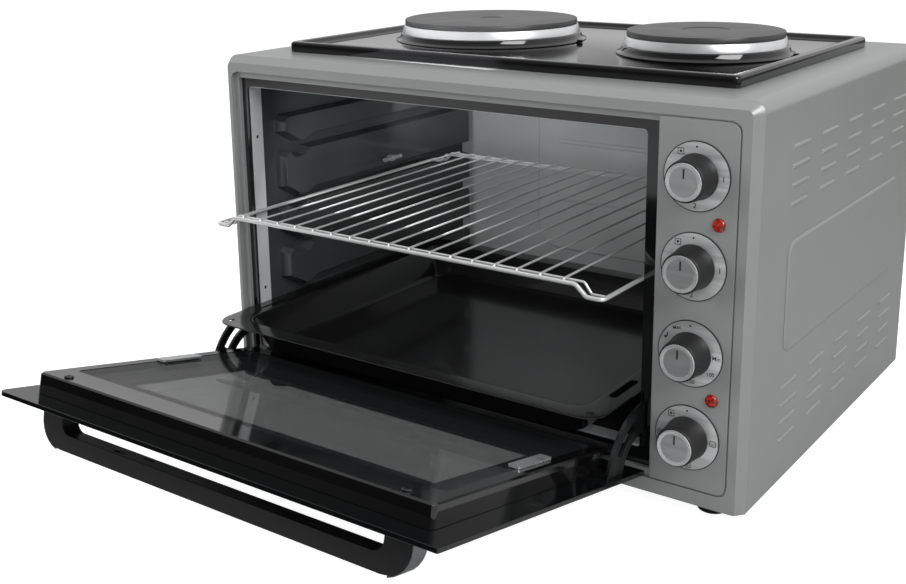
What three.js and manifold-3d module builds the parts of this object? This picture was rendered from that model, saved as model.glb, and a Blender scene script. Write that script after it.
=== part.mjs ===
import Module from "manifold-3d";
import * as THREE from "three";
import { mergeVertices } from "three/addons/utils/BufferGeometryUtils.js";

// Electric oven with two hotplates on top, its door open and its rack and tray pulled out.
// Lengths are in millimetres. X runs to the right, the front faces -Y and Z is up.
// The front face of the bezel is at Y 0 and the underside of the body at Z 0 until the last step.

// Hotplates, side by side, and the room that the hob leaves round them
const bigPlateRadius = 92.3;
const smallPlateRadius = 75.3;
const plateGap = 80.6;
const plateMarginLeft = 50.4;
const plateMarginRight = 28.8;
const hobMargin = 42.5;
const hobWidth =
  plateMarginLeft + 2 * bigPlateRadius + plateGap + 2 * smallPlateRadius + plateMarginRight;
const hobHalf = hobWidth / 2;
const bigPlateX = plateMarginLeft + bigPlateRadius - hobHalf;
const smallPlateX = hobHalf - plateMarginRight - smallPlateRadius;

// Body
const bodyWidth = hobWidth + 2 * hobMargin;
const bodyDepth = 430;
const bodyHeight = 348.4;
const sheet = 1.2;
const cornerRadius = 12;
const edgeRadius = 1.5;
const seat = 0.25;
const overrun = 2;

// Front bezel and the two recesses in it
const bevelIn = 6.8;
const bevelDeep = 9;
const tongueLength = 7;
const recessMarginLeft = 10.8;
const recessMarginRight = 14.7;
const recessMarginTop = 15.9;
const recessLow = 12.9;
const recessRadius = 9;
const recessDepth = 5;
const ledge = 6.5;
const groove = 0.6;
const recessLeft = recessMarginLeft - bodyWidth / 2;
const recessRight = bodyWidth / 2 - recessMarginRight;
const recessHigh = bodyHeight - recessMarginTop;

// Control panel, with the lamps as shares of the row of dials
const panelWidth = 71.4;
const panelThick = 2;
const panelWindowEdge = 7.5;
const controlInset = 36.6;
const controlLowest = 60.3;
const controlTopMargin = 47.41;
const controlCount = 4;
const shaftRadius = 3;
const shaftHole = 4;
const shaftLength = 48;
const dialRadius = 29;
const dialThick = 1;
const skirtRadius = 19.2;
const knobRadius = 17;
const knobLength = 23.6;
const knobEdge = 0.8;
const capRadius = 15.9;
const capThick = 0.7;
const capRingWidth = 2.6;
const capRingRise = 0.5;
const markWidth = 1.2;
const markLength = 8;
const markOut = 3.5;
const markDeep = 0.35;
const switchWidth = 36;
const switchHeight = 40;
const switchLength = 40;
const lampInset = 16.2;
const lampRowShares = [0.1667, 0.8333];
const lampRadius = 5.75;
const lampStem = 4.6;
const lampRise = 3;
const lampLength = 8;
const panelLeft = recessRight - panelWidth;
const controlX = recessRight - controlInset;
const controlPitch = (recessHigh - controlTopMargin - controlLowest) / (controlCount - 1);
const lampX = recessRight - lampInset;

// Oven cavity
const cavityMarginLeft = 13.6;
const cavityMarginRight = 13.9;
const cavityMarginTop = 31.6;
const cavityMarginBack = 16;
const cavityLow = 34;
const cavityCorner = 12;
const openingRadius = 4;
const frameThick = 2;
const collarThick = 0.8;
const collarLength = 16;
const collarHole = 2;
const collarHoleShares = [0.224, 0.807];
const cavityLeft = recessLeft + cavityMarginLeft;
const cavityRight = panelLeft - cavityMarginRight;
const cavityX = (cavityLeft + cavityRight) / 2;
const cavityHalf = (cavityRight - cavityLeft) / 2;
const cavityHigh = bodyHeight - cavityMarginTop;
const cavityBack = bodyDepth - cavityMarginBack;

// Field pressed into the back wall, and its ribs
const fieldInset = 102.6;
const fieldAboveFloor = 32;
const fieldBelowRoof = 54.8;
const fieldRadius = 30;
const fieldRise = 3;
const ribShares = [0.34, 0.598];
const ribHeight = 7;

// Panels pressed into the side walls, with the runways between them as shares of the height
const runwayShares = [0.172, 0.36, 0.5275, 0.739];
const guideTopShare = 0.8734;
const guideLowShare = 0.09;
const runwayHigh = 12;
const guideFront = 45;
const guideMarginBack = 26;
const guideOut = 13;
const guideFlank = 2;
const guideFrontFlank = 3.5;
const guideNose = 5;
const lipDrop = 6;
const lipRise = 8;
const lipOut = 25;
const lipLength = 5;
const lipFlank = 13;
const dipDeep = 7;
const dipOut = 14;
const dipLength = 16;
const dipFlank = 8;

// Heating elements
const elementRadius = 3.25;
const elementOut = 12;
const elementMarginBack = 64;
const elementFront = 100;
const elementSide = 28;
const elementBend = 22;
const elementGap = 6;
const elementBack = cavityBack - elementMarginBack;

// Thermostat bulb
const bulbRadius = 2.5;
const bulbOut = 5;
const bulbRise = 10;
const bulbFront = 207;
const bulbLength = 31;
const bulbClipWidth = 9;

// Hob
const hobMarginBack = 45.5;
const hobFront = 54.5;
const hobHigh = 10.7;
const hobFloor = 5.7;
const hobRim = 8;
const hobRimSlope = 4;
const hobRimRound = 3;
const hobRadius = 9;
const plateHoleRadius = 6;
const plateStud = 5;
const plateStudLength = 22;
const plateHigh = 27.7;
const plateSide = 5.35;
const plateLow = 9.5;
const plateLip = 6.3;
const plateEdge = 0.6;
const plateDishRadius = 28;
const plateDish = 0.8;
const trimHigh = 8.3;
const trimOut = 3;
const spillHigh = 7.6;
const spillOut = 7;
const ringThick = 1.2;
const ringLap = 4.3;
const hobDepth = bodyDepth - hobFront - hobMarginBack;

// Door, drawn closed about its hinge line and turned open by doorAngle
const hingeY = 2;
const hingeZ = 17.3;
const doorAngle = 77.3;
const glassThick = 4;
const glassLow = 5;
const glassGapTop = 1.5;
const glassGapSide = 1.85;
const glassCorner = 8;
const doorFrameInset = 10.8;
const doorFrameLow = 19;
const doorFrameDrop = 23.7;
const doorFrameDeep = 18.7;
const doorFrameBevel = 1.5;
const doorFrameCorner = 5;
const doorSkirtLow = 5;
const doorSkirtDeep = 4.5;
const barrelRadius = 2.6;
const barrelSteps = 6;
const webOut = 2.6;
const webHigh = 2.5;
const pinRadius = 1.5;
const pinBore = 1.8;
const pinLength = 9;
const lugThick = 3;
const lugRadius = 3.1;
const lugFront = 4.6;
const lugHigh = 27;
const pocketSide = 12.5;
const pocketEnd = 31;
const pocketRear = 21;
const pocketCorner = 6;
const windowIn = 9.5;
const innerGlassThick = 3;
const innerGlassSink = 0.4;
const clipLow = 114;
const clipLength = 50;
const clipWidth = 11;
const clipInset = 15.5;
const clipThick = 2;
const screwInset = 30.5;
const screwDrop = 9;
const screwRadius = 4.2;
const screwRise = 1.4;
const screwSocket = 1.6;
const glassHigh = recessHigh - hingeZ - glassGapTop;
const glassHalf = (panelLeft - recessLeft) / 2 - glassGapSide;
const doorFrameHalf = cavityHalf - doorFrameInset;
const doorFrameHigh = glassHigh - doorFrameDrop;
const screwX = doorFrameHalf - screwInset;
const screwHigh = doorFrameHigh - screwDrop;

// Handle, a U under the door when it is open
const handleUnder = 17;
const handleInset = 14;
const handleWidth = 17.4;
const handleDrop = 38;
const handleBar = 14.8;
const handleArm = 25;
const handleRadius = 25;
const handleInnerRadius = 10;
const handleEndThick = 1.2;
const handleEndShare = 0.85;
const handleSlotsAt = [78, 108];
const handleSlotLength = 13;
const handleSlotWidth = 3.4;
const handleSlotDeep = 1.6;
const handleLow = doorFrameHigh - handleUnder;
const handleHalf = doorFrameHalf - handleInset;

// Hinge arms, bent about the hinge line
const armOut = 4.2;
const armThick = 3;
const armInner = 36;
const armOuter = 62;
const armStartAngle = 4;
const armHookAngle = 85.2;
const armEndAngle = 92;
const armHookOuter = 76;
const armSlotInner = 45;
const armSlotOuter = 53;
const armSlotStartAngle = 22;
const armSlotEndAngle = 62;
const armFoot = 4.4;
const armSlotWidth = 5.4;
const armSlotLow = 33.5;
const armSlotHigh = 88;
const armX = cavityHalf + armOut;

// Wire rack
const rackGapSide = 6.8;
const rackMarginBack = 90.5;
const rackFrameWire = 2.5;
const rackWire = 1.6;
const rackFront = -49.7;
const rackRise = 9.4;
const rackBendFrom = 15;
const rackBendTo = 25.4;
const rackCorner = 7;
const rackBarInset = 36.4;
const rackBarCount = 17;
const rackBarRise = 3.1;
const rackCrossInset = 9;
const rackBarDrop = 4.5;
const rackHalf = cavityHalf - rackGapSide;
const rackBack = cavityBack - rackMarginBack;
const rackBendOuter = rackHalf - rackBendFrom;
const rackBendInner = rackHalf - rackBendTo;
const rackBarSpan = rackHalf - rackBarInset;

// Baking tray
const trayGapSide = 4.3;
const trayMarginBack = 94;
const trayFront = -62;
const trayOverElement = 5.4;
const trayThick = 1.2;
const trayRimWide = 25.5;
const trayRimNarrow = 22;
const traySlope = 13;
const trayRimRadius = 22;
const trayPanRadius = 30;
const trayFloorRadius = 24;
const trayHoleRadius = 3.2;
const trayHoleIn = 13.4;
const traySlotLength = 46;
const traySlotWidth = 8;
const traySlotFront = -9;
const traySlotInset = 14.6;
const trayHalf = cavityHalf - trayGapSide;
const trayBack = cavityBack - trayMarginBack;

// Louvres and the pressed panel in each side
const louvreColumns = 5;
const louvreRows = 4;
const louvreFront = 71;
const louvreMarginBack = 43.4;
const louvreLength = 40.8;
const louvreHeight = 8;
const louvreRise = 2.6;
const louvreSlope = 3;
const louvreMouth = 0.8;
const louvreRowPitch = 16.3;
const louvreLow = 39.6;
const louvreBelowTop = 96.8;
const sidePanelFront = 72.2;
const sidePanelMarginBack = 50;
const sidePanelLow = 120.3;
const sidePanelBelowTop = 126.9;
const sidePanelRadius = 14;
const sidePanelRise = 1.8;
const sidePanelSlope = 3;
const louvreRun = bodyDepth - louvreMarginBack - louvreLength - louvreFront;
const louvrePitch = louvreRun / (louvreColumns - 1);

// Back, base and feet
const backSlotCount = 7;
const backSlotPitch = 30;
const backSlotLength = 60;
const backSlotWidth = 5;
const backSlotShares = [0.258, 0.689];
const baseSlotCount = 5;
const baseSlotPitch = 60;
const baseSlotLength = 70;
const footRadius = 15;
const footTaper = 1.5;
const footHigh = 12;
const footStud = 4;
const footStudRise = 3;
const footInX = 37;
const footInY = 27;
const glandInset = 45;
const glandZ = 46;
const glandRadius = 8;
const glandBore = 3.6;
const glandFlange = 11;
const glandFlangeThick = 3;
const glandOut = 10;
const glandIn = 6;
const glandX = bodyWidth / 2 - glandInset;

// Fineness of the round shapes
const cornerSteps = 3;
const bodyCornerSteps = 6;
const slotSteps = 1;
const roundSteps = 32;
const smallRoundSteps = 14;
const wireSteps = 6;
const bendSteps = 2;
const handleSteps = 6;
const arcSteps = 12;
const weld = 1e-4;

const finishes = {
  greyPaint: { color: 0x8c8e8d, metalness: 0.2, roughness: 0.5 },
  blackEnamel: { color: 0x0b0b0c, metalness: 0, roughness: 0.15 },
  greyEnamel: { color: 0x3a3b3c, metalness: 0.2, roughness: 0.25 },
  blackPlastic: { color: 0x161617, metalness: 0, roughness: 0.45 },
  castIron: { color: 0x1d1d1e, metalness: 0.3, roughness: 0.6 },
  brushedSteel: { color: 0xb9babb, metalness: 0.9, roughness: 0.35 },
  chrome: { color: 0xe0e1e2, metalness: 1, roughness: 0.1 },
  zinc: { color: 0xa7a9aa, metalness: 0.8, roughness: 0.4 },
  darkGlass: { color: 0x101112, metalness: 0, roughness: 0.05 },
  greyGlass: { color: 0x55585a, metalness: 0, roughness: 0.05 },
  redLens: { color: 0xc01a14, metalness: 0, roughness: 0.2 },
  rubber: { color: 0x121212, metalness: 0, roughness: 0.8 },
  ceramic: { color: 0xd8d4c8, metalness: 0, roughness: 0.7 },
};

const wasm = await Module();
wasm.setup();

// The volume inside a closed shell, below zero when its faces point inwards.
function shellVolume(places, faces) {
  const a = new THREE.Vector3();
  const b = new THREE.Vector3();
  const c = new THREE.Vector3();
  let sum = 0;
  for (let i = 0; i < faces.length; i += 3) {
    a.fromArray(places, faces[i] * 3);
    b.fromArray(places, faces[i + 1] * 3);
    c.fromArray(places, faces[i + 2] * 3);
    sum += a.dot(b.cross(c));
  }
  return sum;
}

// A three.js geometry as a solid that can be added to and cut.
function solid(geometry) {
  const bare = geometry.index ? geometry.toNonIndexed() : geometry.clone();
  for (const name of Object.keys(bare.attributes)) {
    if (name !== "position") bare.deleteAttribute(name);
  }
  const welded = mergeVertices(bare, weld);
  const corners = welded.index.array;
  const faces = [];
  for (let i = 0; i < corners.length; i += 3) {
    const [a, b, c] = corners.slice(i, i + 3);
    if (a !== b && b !== c && c !== a) faces.push(a, b, c);
  }
  const places = welded.attributes.position.array;
  if (shellVolume(places, faces) < 0) faces.reverse();
  return new wasm.Manifold(
    new wasm.Mesh({
      numProp: 3,
      vertProperties: Float32Array.from(places),
      triVerts: Uint32Array.from(faces),
    }),
  );
}

function join(first, ...others) {
  return others.reduce((whole, other) => whole.add(other), first);
}

function cut(first, ...others) {
  return others.reduce((whole, other) => whole.subtract(other), first);
}

// A rectangle with rounded corners, counterclockwise from its lower left corner.
function outline([left, right, low, high], radius, steps = cornerSteps) {
  const radii = Array.isArray(radius) ? radius : [radius, radius, radius, radius];
  const middles = [
    [left + radii[0], low + radii[0]],
    [right - radii[1], low + radii[1]],
    [right - radii[2], high - radii[2]],
    [left + radii[3], high - radii[3]],
  ];
  return middles.flatMap(([x, y], corner) =>
    Array.from({ length: steps + 1 }, (_, step) => {
      const angle = (Math.PI / 2) * (corner + 2 + step / steps);
      const reach = radii[corner];
      return new THREE.Vector2(x + reach * Math.cos(angle), y + reach * Math.sin(angle));
    }),
  );
}

// The four corners of a rectangle, counterclockwise.
function corners([left, right, low, high]) {
  return [
    new THREE.Vector2(left, low),
    new THREE.Vector2(right, low),
    new THREE.Vector2(right, high),
    new THREE.Vector2(left, high),
  ];
}

// The sides of a rectangle moved in by the same amount.
function inset([left, right, low, high], by) {
  return [left + by, right - by, low + by, high - by];
}

// A solid through outlines of as many points, each at its own level across the plane.
function loft(plane, lines, levels) {
  const turnedBack = THREE.ShapeUtils.isClockWise(lines[0]);
  const outlines = turnedBack ? lines.map((line) => line.toReversed()) : lines;
  const count = outlines[0].length;
  const place = {
    xy: (point, level) => [point.x, point.y, level],
    xz: (point, level) => [point.x, level, point.y],
    yz: (point, level) => [level, point.x, point.y],
  }[plane];
  const places = outlines.flatMap((line, k) => line.flatMap((point) => place(point, levels[k])));
  const faces = [];
  for (let k = 0; k + 1 < outlines.length; k += 1) {
    for (let i = 0; i < count; i += 1) {
      const here = k * count + i;
      const next = k * count + ((i + 1) % count);
      faces.push(here, next, next + count, here, next + count, here + count);
    }
  }
  const last = count * (outlines.length - 1);
  for (const [a, b, c] of THREE.ShapeUtils.triangulateShape(outlines[0], [])) faces.push(c, b, a);
  for (const [a, b, c] of THREE.ShapeUtils.triangulateShape(outlines.at(-1), [])) {
    faces.push(last + a, last + b, last + c);
  }
  const geometry = new THREE.BufferGeometry();
  geometry.setAttribute("position", new THREE.Float32BufferAttribute(places, 3));
  geometry.setIndex(faces);
  return solid(geometry);
}

// A plate of one outline between two levels.
function slab(plane, sides, radius, from, to, steps = cornerSteps) {
  const line = outline(sides, radius, steps);
  return loft(plane, [line, line], [from, to]);
}

// A solid turned about an upright line, from [radius, height] pairs.
function turned(profile, steps = roundSteps) {
  const points = profile.map(([radius, height]) => new THREE.Vector2(radius, height));
  return new THREE.LatheGeometry(points, steps).rotateX(Math.PI / 2);
}

// The same, turned about a line that runs towards the front, with heights counted forwards.
function turnedForward(profile, steps = roundSteps) {
  const points = profile.map(([radius, height]) => new THREE.Vector2(radius, height));
  return new THREE.LatheGeometry(points, steps).rotateX(Math.PI);
}

function turnedAt(profile, x, y, z, steps) {
  return solid(turned(profile, steps).translate(x, y, z));
}

// A plain rod along Y.
function rodAlongY(radius, x, z, from, to, steps = smallRoundSteps) {
  const rod = new THREE.CylinderGeometry(radius, radius, to - from, steps);
  return solid(rod.translate(x, (from + to) / 2, z));
}

// A plain upright rod.
function rodUpright(radius, x, y, from, to, steps = smallRoundSteps) {
  const rod = new THREE.CylinderGeometry(radius, radius, to - from, steps).rotateX(Math.PI / 2);
  return solid(rod.translate(x, y, (from + to) / 2));
}

// A path whose own corner points are the stations that a wire is swept through.
class WirePath extends THREE.Curve {
  constructor(points) {
    super();
    this.points = points;
  }

  getPoint(share) {
    const along = share * (this.points.length - 1);
    const start = Math.min(Math.floor(along), this.points.length - 2);
    return this.points[start].clone().lerp(this.points[start + 1], along - start);
  }

  getPointAt(share) {
    return this.getPoint(share);
  }

  getTangentAt(share) {
    const at = Math.round(share * (this.points.length - 1));
    const before = this.points[Math.max(at - 1, 0)];
    const after = this.points[Math.min(at + 1, this.points.length - 1)];
    const here = this.points[at];
    const into = here.clone().sub(before).normalize();
    const out = after.clone().sub(here).normalize();
    return into.add(out).normalize();
  }
}

// Corner points with each bend rounded to a radius.
function rounded(corners, bend) {
  const points = [corners[0]];
  for (let i = 1; i + 1 < corners.length; i += 1) {
    const into = corners[i].clone().sub(corners[i - 1]).normalize();
    const out = corners[i + 1].clone().sub(corners[i]).normalize();
    const start = corners[i].clone().addScaledVector(into, -bend);
    const end = corners[i].clone().addScaledVector(out, bend);
    const arc = new THREE.QuadraticBezierCurve3(start, corners[i], end);
    points.push(...arc.getPoints(bendSteps));
  }
  points.push(corners.at(-1));
  return points;
}

// A round wire swept through points.
function wire(points, radius) {
  const ring = new THREE.Shape(
    Array.from({ length: wireSteps }, (_, i) => {
      const angle = (2 * Math.PI * i) / wireSteps;
      return new THREE.Vector2(radius * Math.cos(angle), radius * Math.sin(angle));
    }),
  );
  const path = new WirePath(points);
  return solid(
    new THREE.ExtrudeGeometry(ring, { steps: points.length - 1, extrudePath: path }),
  );
}

function at(x, y, z) {
  return new THREE.Vector3(x, y, z);
}

const oven = new THREE.Group();
const door = new THREE.Group();

// Puts a solid into a group as a named mesh with its own material.
function addPiece(name, shape, finish, group = oven) {
  const result = shape.getMesh();
  const geometry = new THREE.BufferGeometry();
  geometry.setAttribute("position", new THREE.BufferAttribute(result.vertProperties, 3));
  geometry.setIndex(new THREE.BufferAttribute(result.triVerts, 1));
  const mesh = new THREE.Mesh(geometry, new THREE.MeshStandardMaterial(finishes[finish]));
  mesh.name = name;
  group.add(mesh);
}

const panelSides = [
  panelLeft,
  recessRight - groove,
  recessLow + groove,
  recessHigh - groove,
];
const openingSides = [
  cavityX - cavityHalf,
  cavityX + cavityHalf,
  cavityLow,
  cavityHigh,
];
const doorwaySides = [
  recessLeft + ledge,
  panelLeft - groove,
  recessLow + ledge,
  recessHigh - ledge,
];
const bodySides = [-bodyWidth / 2, bodyWidth / 2, 0, bodyHeight];
const bodyRadii = [edgeRadius, edgeRadius, cornerRadius, cornerRadius];
const controlHeights = Array.from(
  { length: controlCount },
  (_, i) => controlLowest + i * controlPitch,
);
const lampHeights = lampRowShares.map(
  (share) => controlLowest + share * (controlHeights.at(-1) - controlLowest),
);
const hobMiddle = hobFront + hobDepth / 2;

// A height in the cavity as a share of the way from its floor to its roof.
function cavityAt(share) {
  return cavityLow + share * (cavityHigh - cavityLow);
}

const runways = runwayShares.map(cavityAt);

// How far the floor of a runway has sloped down under a piece that stays this far from the wall.
function runwaySag(gap) {
  return (guideFlank * gap) / guideOut;
}

const rackLow = runways[2] - runwaySag(rackGapSide) + rackFrameWire + seat;
const rackHigh = rackLow + rackRise;
const rackBarHigh = rackHigh + rackBarRise;
const trayHigh = runways[0] - runwaySag(trayGapSide) + seat + trayThick;
const trayLow = cavityLow + elementGap + elementRadius + trayOverElement;

function bezel() {
  const [left, right, , high] = bodySides;
  const low = -bevelIn - overrun;
  const sides = [left, right, low, high];
  const front = outline(inset(sides, bevelIn), cornerRadius - bevelIn, bodyCornerSteps);
  const whole = loft("xz", [front, outline(sides, cornerRadius, bodyCornerSteps)], [0, bevelDeep]);
  const underCut = slab("xz", [left - overrun, right + overrun, low - overrun, 0], edgeRadius,
    -overrun, bevelDeep + overrun);
  const tongueSides = inset([left, right, bevelIn, high], sheet + seat);
  tongueSides[2] = bevelIn;
  const tongueRadii = bodyRadii.map((radius) => Math.max(radius - sheet - seat, edgeRadius));
  const tongueEnd = bevelDeep + tongueLength;
  const tongue = cut(
    slab("xz", tongueSides, tongueRadii, bevelDeep - sheet, tongueEnd),
    slab("xz", inset(tongueSides, sheet), tongueRadii, bevelDeep - overrun, tongueEnd + overrun),
    slab("xz", [left, right, 0, bevelIn + overrun], edgeRadius, bevelDeep, tongueEnd + overrun),
  );
  const doorRadii = [recessRadius, edgeRadius, edgeRadius, recessRadius];
  const panelRadii = [edgeRadius, recessRadius, recessRadius, edgeRadius];
  const doorRecess = [recessLeft, panelLeft - groove, recessLow, recessHigh];
  const panelRecess = [panelLeft - 2 * groove, recessRight, recessLow, recessHigh];
  return cut(
    join(cut(whole, underCut), tongue),
    slab("xz", doorRecess, doorRadii, -overrun, recessDepth),
    slab("xz", panelRecess, panelRadii, -overrun, panelThick + seat),
    slab("xz", doorwaySides, edgeRadius, 0, bevelDeep + overrun),
    slab("xz", inset(panelSides, panelWindowEdge), edgeRadius, 0, bevelDeep + overrun),
  );
}

// The front lower corner of each louvre: its Y and the height of its middle.
function louvrePlaces() {
  const places = [];
  for (const lowest of [louvreLow, bodyHeight - louvreBelowTop]) {
    for (let row = 0; row < louvreRows; row += 1) {
      for (let column = 0; column < louvreColumns; column += 1) {
        places.push([louvreFront + column * louvrePitch, lowest + row * louvreRowPitch]);
      }
    }
  }
  return places;
}

// The sheet that wraps the top and both sides, with its louvres and raised panels.
function wrapper() {
  const front = bevelDeep + seat;
  const [left, right, , high] = bodySides;
  const outer = slab("xz", [left, right, sheet + seat, high], bodyRadii, front, bodyDepth,
    bodyCornerSteps);
  const innerRadii = bodyRadii.map((radius) => Math.max(radius - sheet, edgeRadius));
  const innerSides = [left + sheet, right - sheet, -overrun * 2, high - sheet];
  const inner = slab("xz", innerSides, innerRadii, 0, bodyDepth + overrun, bodyCornerSteps);
  let shell = cut(outer, inner);
  const panel = [
    sidePanelFront,
    bodyDepth - sidePanelMarginBack,
    sidePanelLow,
    bodyHeight - sidePanelBelowTop,
  ];
  for (const side of [-1, 1]) {
    const face = (side * bodyWidth) / 2;
    const [root, behind] = [face - side * sheet, face - side * (sheet + overrun)];
    const crest = face + side * sidePanelRise;
    const top = outline(inset(panel, sidePanelSlope), sidePanelRadius - sidePanelSlope);
    const back = outline(inset(panel, sheet), sidePanelRadius - sheet);
    const backSides = inset(panel, sidePanelSlope + sheet / 2);
    const backTop = outline(backSides, sidePanelRadius - sidePanelSlope);
    const bottom = outline(panel, sidePanelRadius);
    shell = join(shell, loft("yz", [bottom, top], [face - side * seat, crest]));
    shell = cut(shell, loft("yz", [back, back, backTop], [behind, root, crest - side * sheet]));
    for (const [y, z] of louvrePlaces()) {
      const foot = [y, y + louvreLength, z - louvreHeight / 2, z + louvreHeight / 2];
      const hood = [foot[0] + louvreSlope, foot[1] - louvreSlope, foot[2], z];
      const hollow = inset(foot, sheet);
      const hollowTop = inset(hood, sheet / 2);
      hollow[2] = foot[2] - louvreMouth;
      hollowTop[2] = foot[2] - louvreMouth;
      const ridge = side * (bodyWidth / 2 + louvreRise);
      const hoodLines = [corners(foot), corners(hood)];
      const hollowLines = [corners(hollow), corners(hollow), corners(hollowTop)];
      shell = join(shell, loft("yz", hoodLines, [face - side * seat, ridge]));
      shell = cut(shell, loft("yz", hollowLines, [behind, root, ridge - side * sheet]));
    }
  }
  for (const x of [bigPlateX, smallPlateX]) {
    const hole = rodUpright(plateHoleRadius, x, hobMiddle, high - overrun * 2, high + overrun);
    shell = cut(shell, hole);
  }
  return shell;
}

function basePlate() {
  const half = bodyWidth / 2 - sheet - seat;
  const back = bodyDepth - sheet - seat * 2;
  let plate = slab("xy", [-half, half, bevelDeep + seat, back], edgeRadius, 0, sheet);
  for (const [x, y] of footPlaces()) {
    plate = cut(plate, rodUpright(footStud + seat, x, y, -overrun, sheet + overrun));
  }
  for (let i = 0; i < baseSlotCount; i += 1) {
    const x = (i - (baseSlotCount - 1) / 2) * baseSlotPitch;
    const sides = [
      x - backSlotWidth / 2,
      x + backSlotWidth / 2,
      (bodyDepth - baseSlotLength) / 2,
      (bodyDepth + baseSlotLength) / 2,
    ];
    plate = cut(
      plate,
      slab("xy", sides, backSlotWidth / 2, -overrun, sheet + overrun, slotSteps),
    );
  }
  return plate;
}

function backPanel() {
  const gap = sheet + seat;
  const half = bodyWidth / 2 - gap;
  const radii = bodyRadii.map((radius) => Math.max(radius - gap, edgeRadius));
  const sides = [-half, half, gap, bodyHeight - gap];
  const from = bodyDepth - sheet - seat;
  const to = bodyDepth - seat;
  let panel = slab("xz", sides, radii, from, to);
  for (const share of backSlotShares) {
    const z = bodyHeight * share;
    for (let i = 0; i < backSlotCount; i += 1) {
      const x = cavityX + (i - (backSlotCount - 1) / 2) * backSlotPitch;
      const slot = [
        x - backSlotWidth / 2,
        x + backSlotWidth / 2,
        z - backSlotLength / 2,
        z + backSlotLength / 2,
      ];
      const through = slab("xz", slot, backSlotWidth / 2, from - overrun, to + overrun, slotSteps);
      panel = cut(panel, through);
    }
  }
  const hole = rodAlongY(glandRadius + seat, glandX, glandZ, from - overrun, to + overrun);
  return cut(panel, hole);
}

function footPlaces() {
  const x = bodyWidth / 2 - footInX;
  return [
    [-x, footInY],
    [x, footInY],
    [-x, bodyDepth - footInY],
    [x, bodyDepth - footInY],
  ];
}

function foot(x, y) {
  return turnedAt(
    [
      [0, -footHigh],
      [footRadius - footTaper, -footHigh],
      [footRadius, -seat],
      [footStud, -seat],
      [footStud, footStudRise],
      [0, footStudRise],
    ],
    x,
    y,
    0,
    smallRoundSteps,
  );
}

function gland() {
  const flangeFrom = bodyDepth - seat + seat;
  const body = rodAlongY(glandRadius, glandX, glandZ, bodyDepth - glandIn, bodyDepth + glandOut);
  const flange = rodAlongY(glandFlange, glandX, glandZ, flangeFrom, flangeFrom + glandFlangeThick, 6);
  const bore = rodAlongY(
    glandBore,
    glandX,
    glandZ,
    bodyDepth - glandIn - overrun,
    bodyDepth + glandOut + overrun,
  );
  return cut(join(body, flange), bore);
}

// The black frame round the oven opening, with a slot for each hinge arm.
function openingFrame() {
  const front = bevelDeep + seat;
  const back = front + frameThick;
  const reach = [
    recessLeft - ledge,
    panelLeft + panelWindowEdge - groove - edgeRadius,
    recessLow - ledge,
    recessHigh + ledge,
  ];
  let frame = cut(
    slab("xz", reach, edgeRadius, front, back),
    slab("xz", openingSides, openingRadius, front - overrun, back + overrun),
  );
  for (const side of [-1, 1]) {
    const x = cavityX + side * armX;
    const sides = [x - armSlotWidth / 2, x + armSlotWidth / 2, armSlotLow, armSlotHigh];
    const slot = slab("xz", sides, armSlotWidth / 3, front - overrun, back + overrun, slotSteps);
    frame = join(cut(frame, slot), hingeLug(side));
  }
  return frame;
}

// A lug that reaches forwards from the opening frame and holds the hinge pin of the door.
function hingeLug(side) {
  const inner = doorFrameHalf - doorFrameCorner + seat;
  const levels = [inner, inner + lugThick].map((reach) => cavityX + side * reach);
  const root = bevelDeep + seat * 2;
  const end = Array.from({ length: barrelSteps + 1 }, (_, step) => {
    const angle = Math.PI * (1 + step / barrelSteps);
    const y = hingeY + lugRadius * Math.cos(angle) - edgeRadius / 2;
    return new THREE.Vector2(y, hingeZ + lugRadius * Math.sin(angle));
  });
  const line = [
    ...end,
    new THREE.Vector2(hingeY + lugRadius - edgeRadius / 2, hingeZ + lugRadius - seat),
    new THREE.Vector2(root, hingeZ + lugRadius - seat),
    new THREE.Vector2(root, hingeZ + lugHigh / 2),
    new THREE.Vector2(lugFront, hingeZ + lugHigh / 2 - lugFront),
    new THREE.Vector2(lugFront, hingeZ + lugRadius + edgeRadius),
    new THREE.Vector2(hingeY - lugRadius - edgeRadius / 2, hingeZ + lugRadius),
  ];
  const pin = new THREE.CylinderGeometry(pinRadius, pinRadius, pinLength, smallRoundSteps);
  const middle = cavityX + side * (inner + lugThick / 2 - pinLength / 2);
  pin.rotateZ(Math.PI / 2).translate(middle, hingeY, hingeZ);
  return join(loft("yz", [line, line], levels), solid(pin));
}

const cavityFront = bevelDeep + frameThick + seat * 2;

// The bright lining just inside the opening.
function collar() {
  const outer = inset(openingSides, seat / 2);
  const back = cavityFront + collarLength;
  let ring = cut(
    slab("xz", outer, openingRadius, cavityFront, back),
    slab("xz", inset(outer, collarThick), openingRadius, cavityFront - overrun, back + overrun),
  );
  for (const z of collarHoleShares.map(cavityAt)) {
    const hole = new THREE.CylinderGeometry(collarHole, collarHole, bodyWidth, smallRoundSteps);
    hole.rotateZ(Math.PI / 2).translate(cavityX, cavityFront + collarLength / 2, z);
    ring = cut(ring, solid(hole));
  }
  return ring;
}

// The front, back, bottom and top of each panel pressed into a side wall, from the lowest up.
function guidePanels() {
  const lows = [cavityAt(guideLowShare), ...runways.map((floor) => floor + runwayHigh)];
  const highs = [...runways, cavityAt(guideTopShare)];
  return lows.map((low, i) => [guideFront, cavityBack - guideMarginBack, low, highs[i]]);
}

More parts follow.
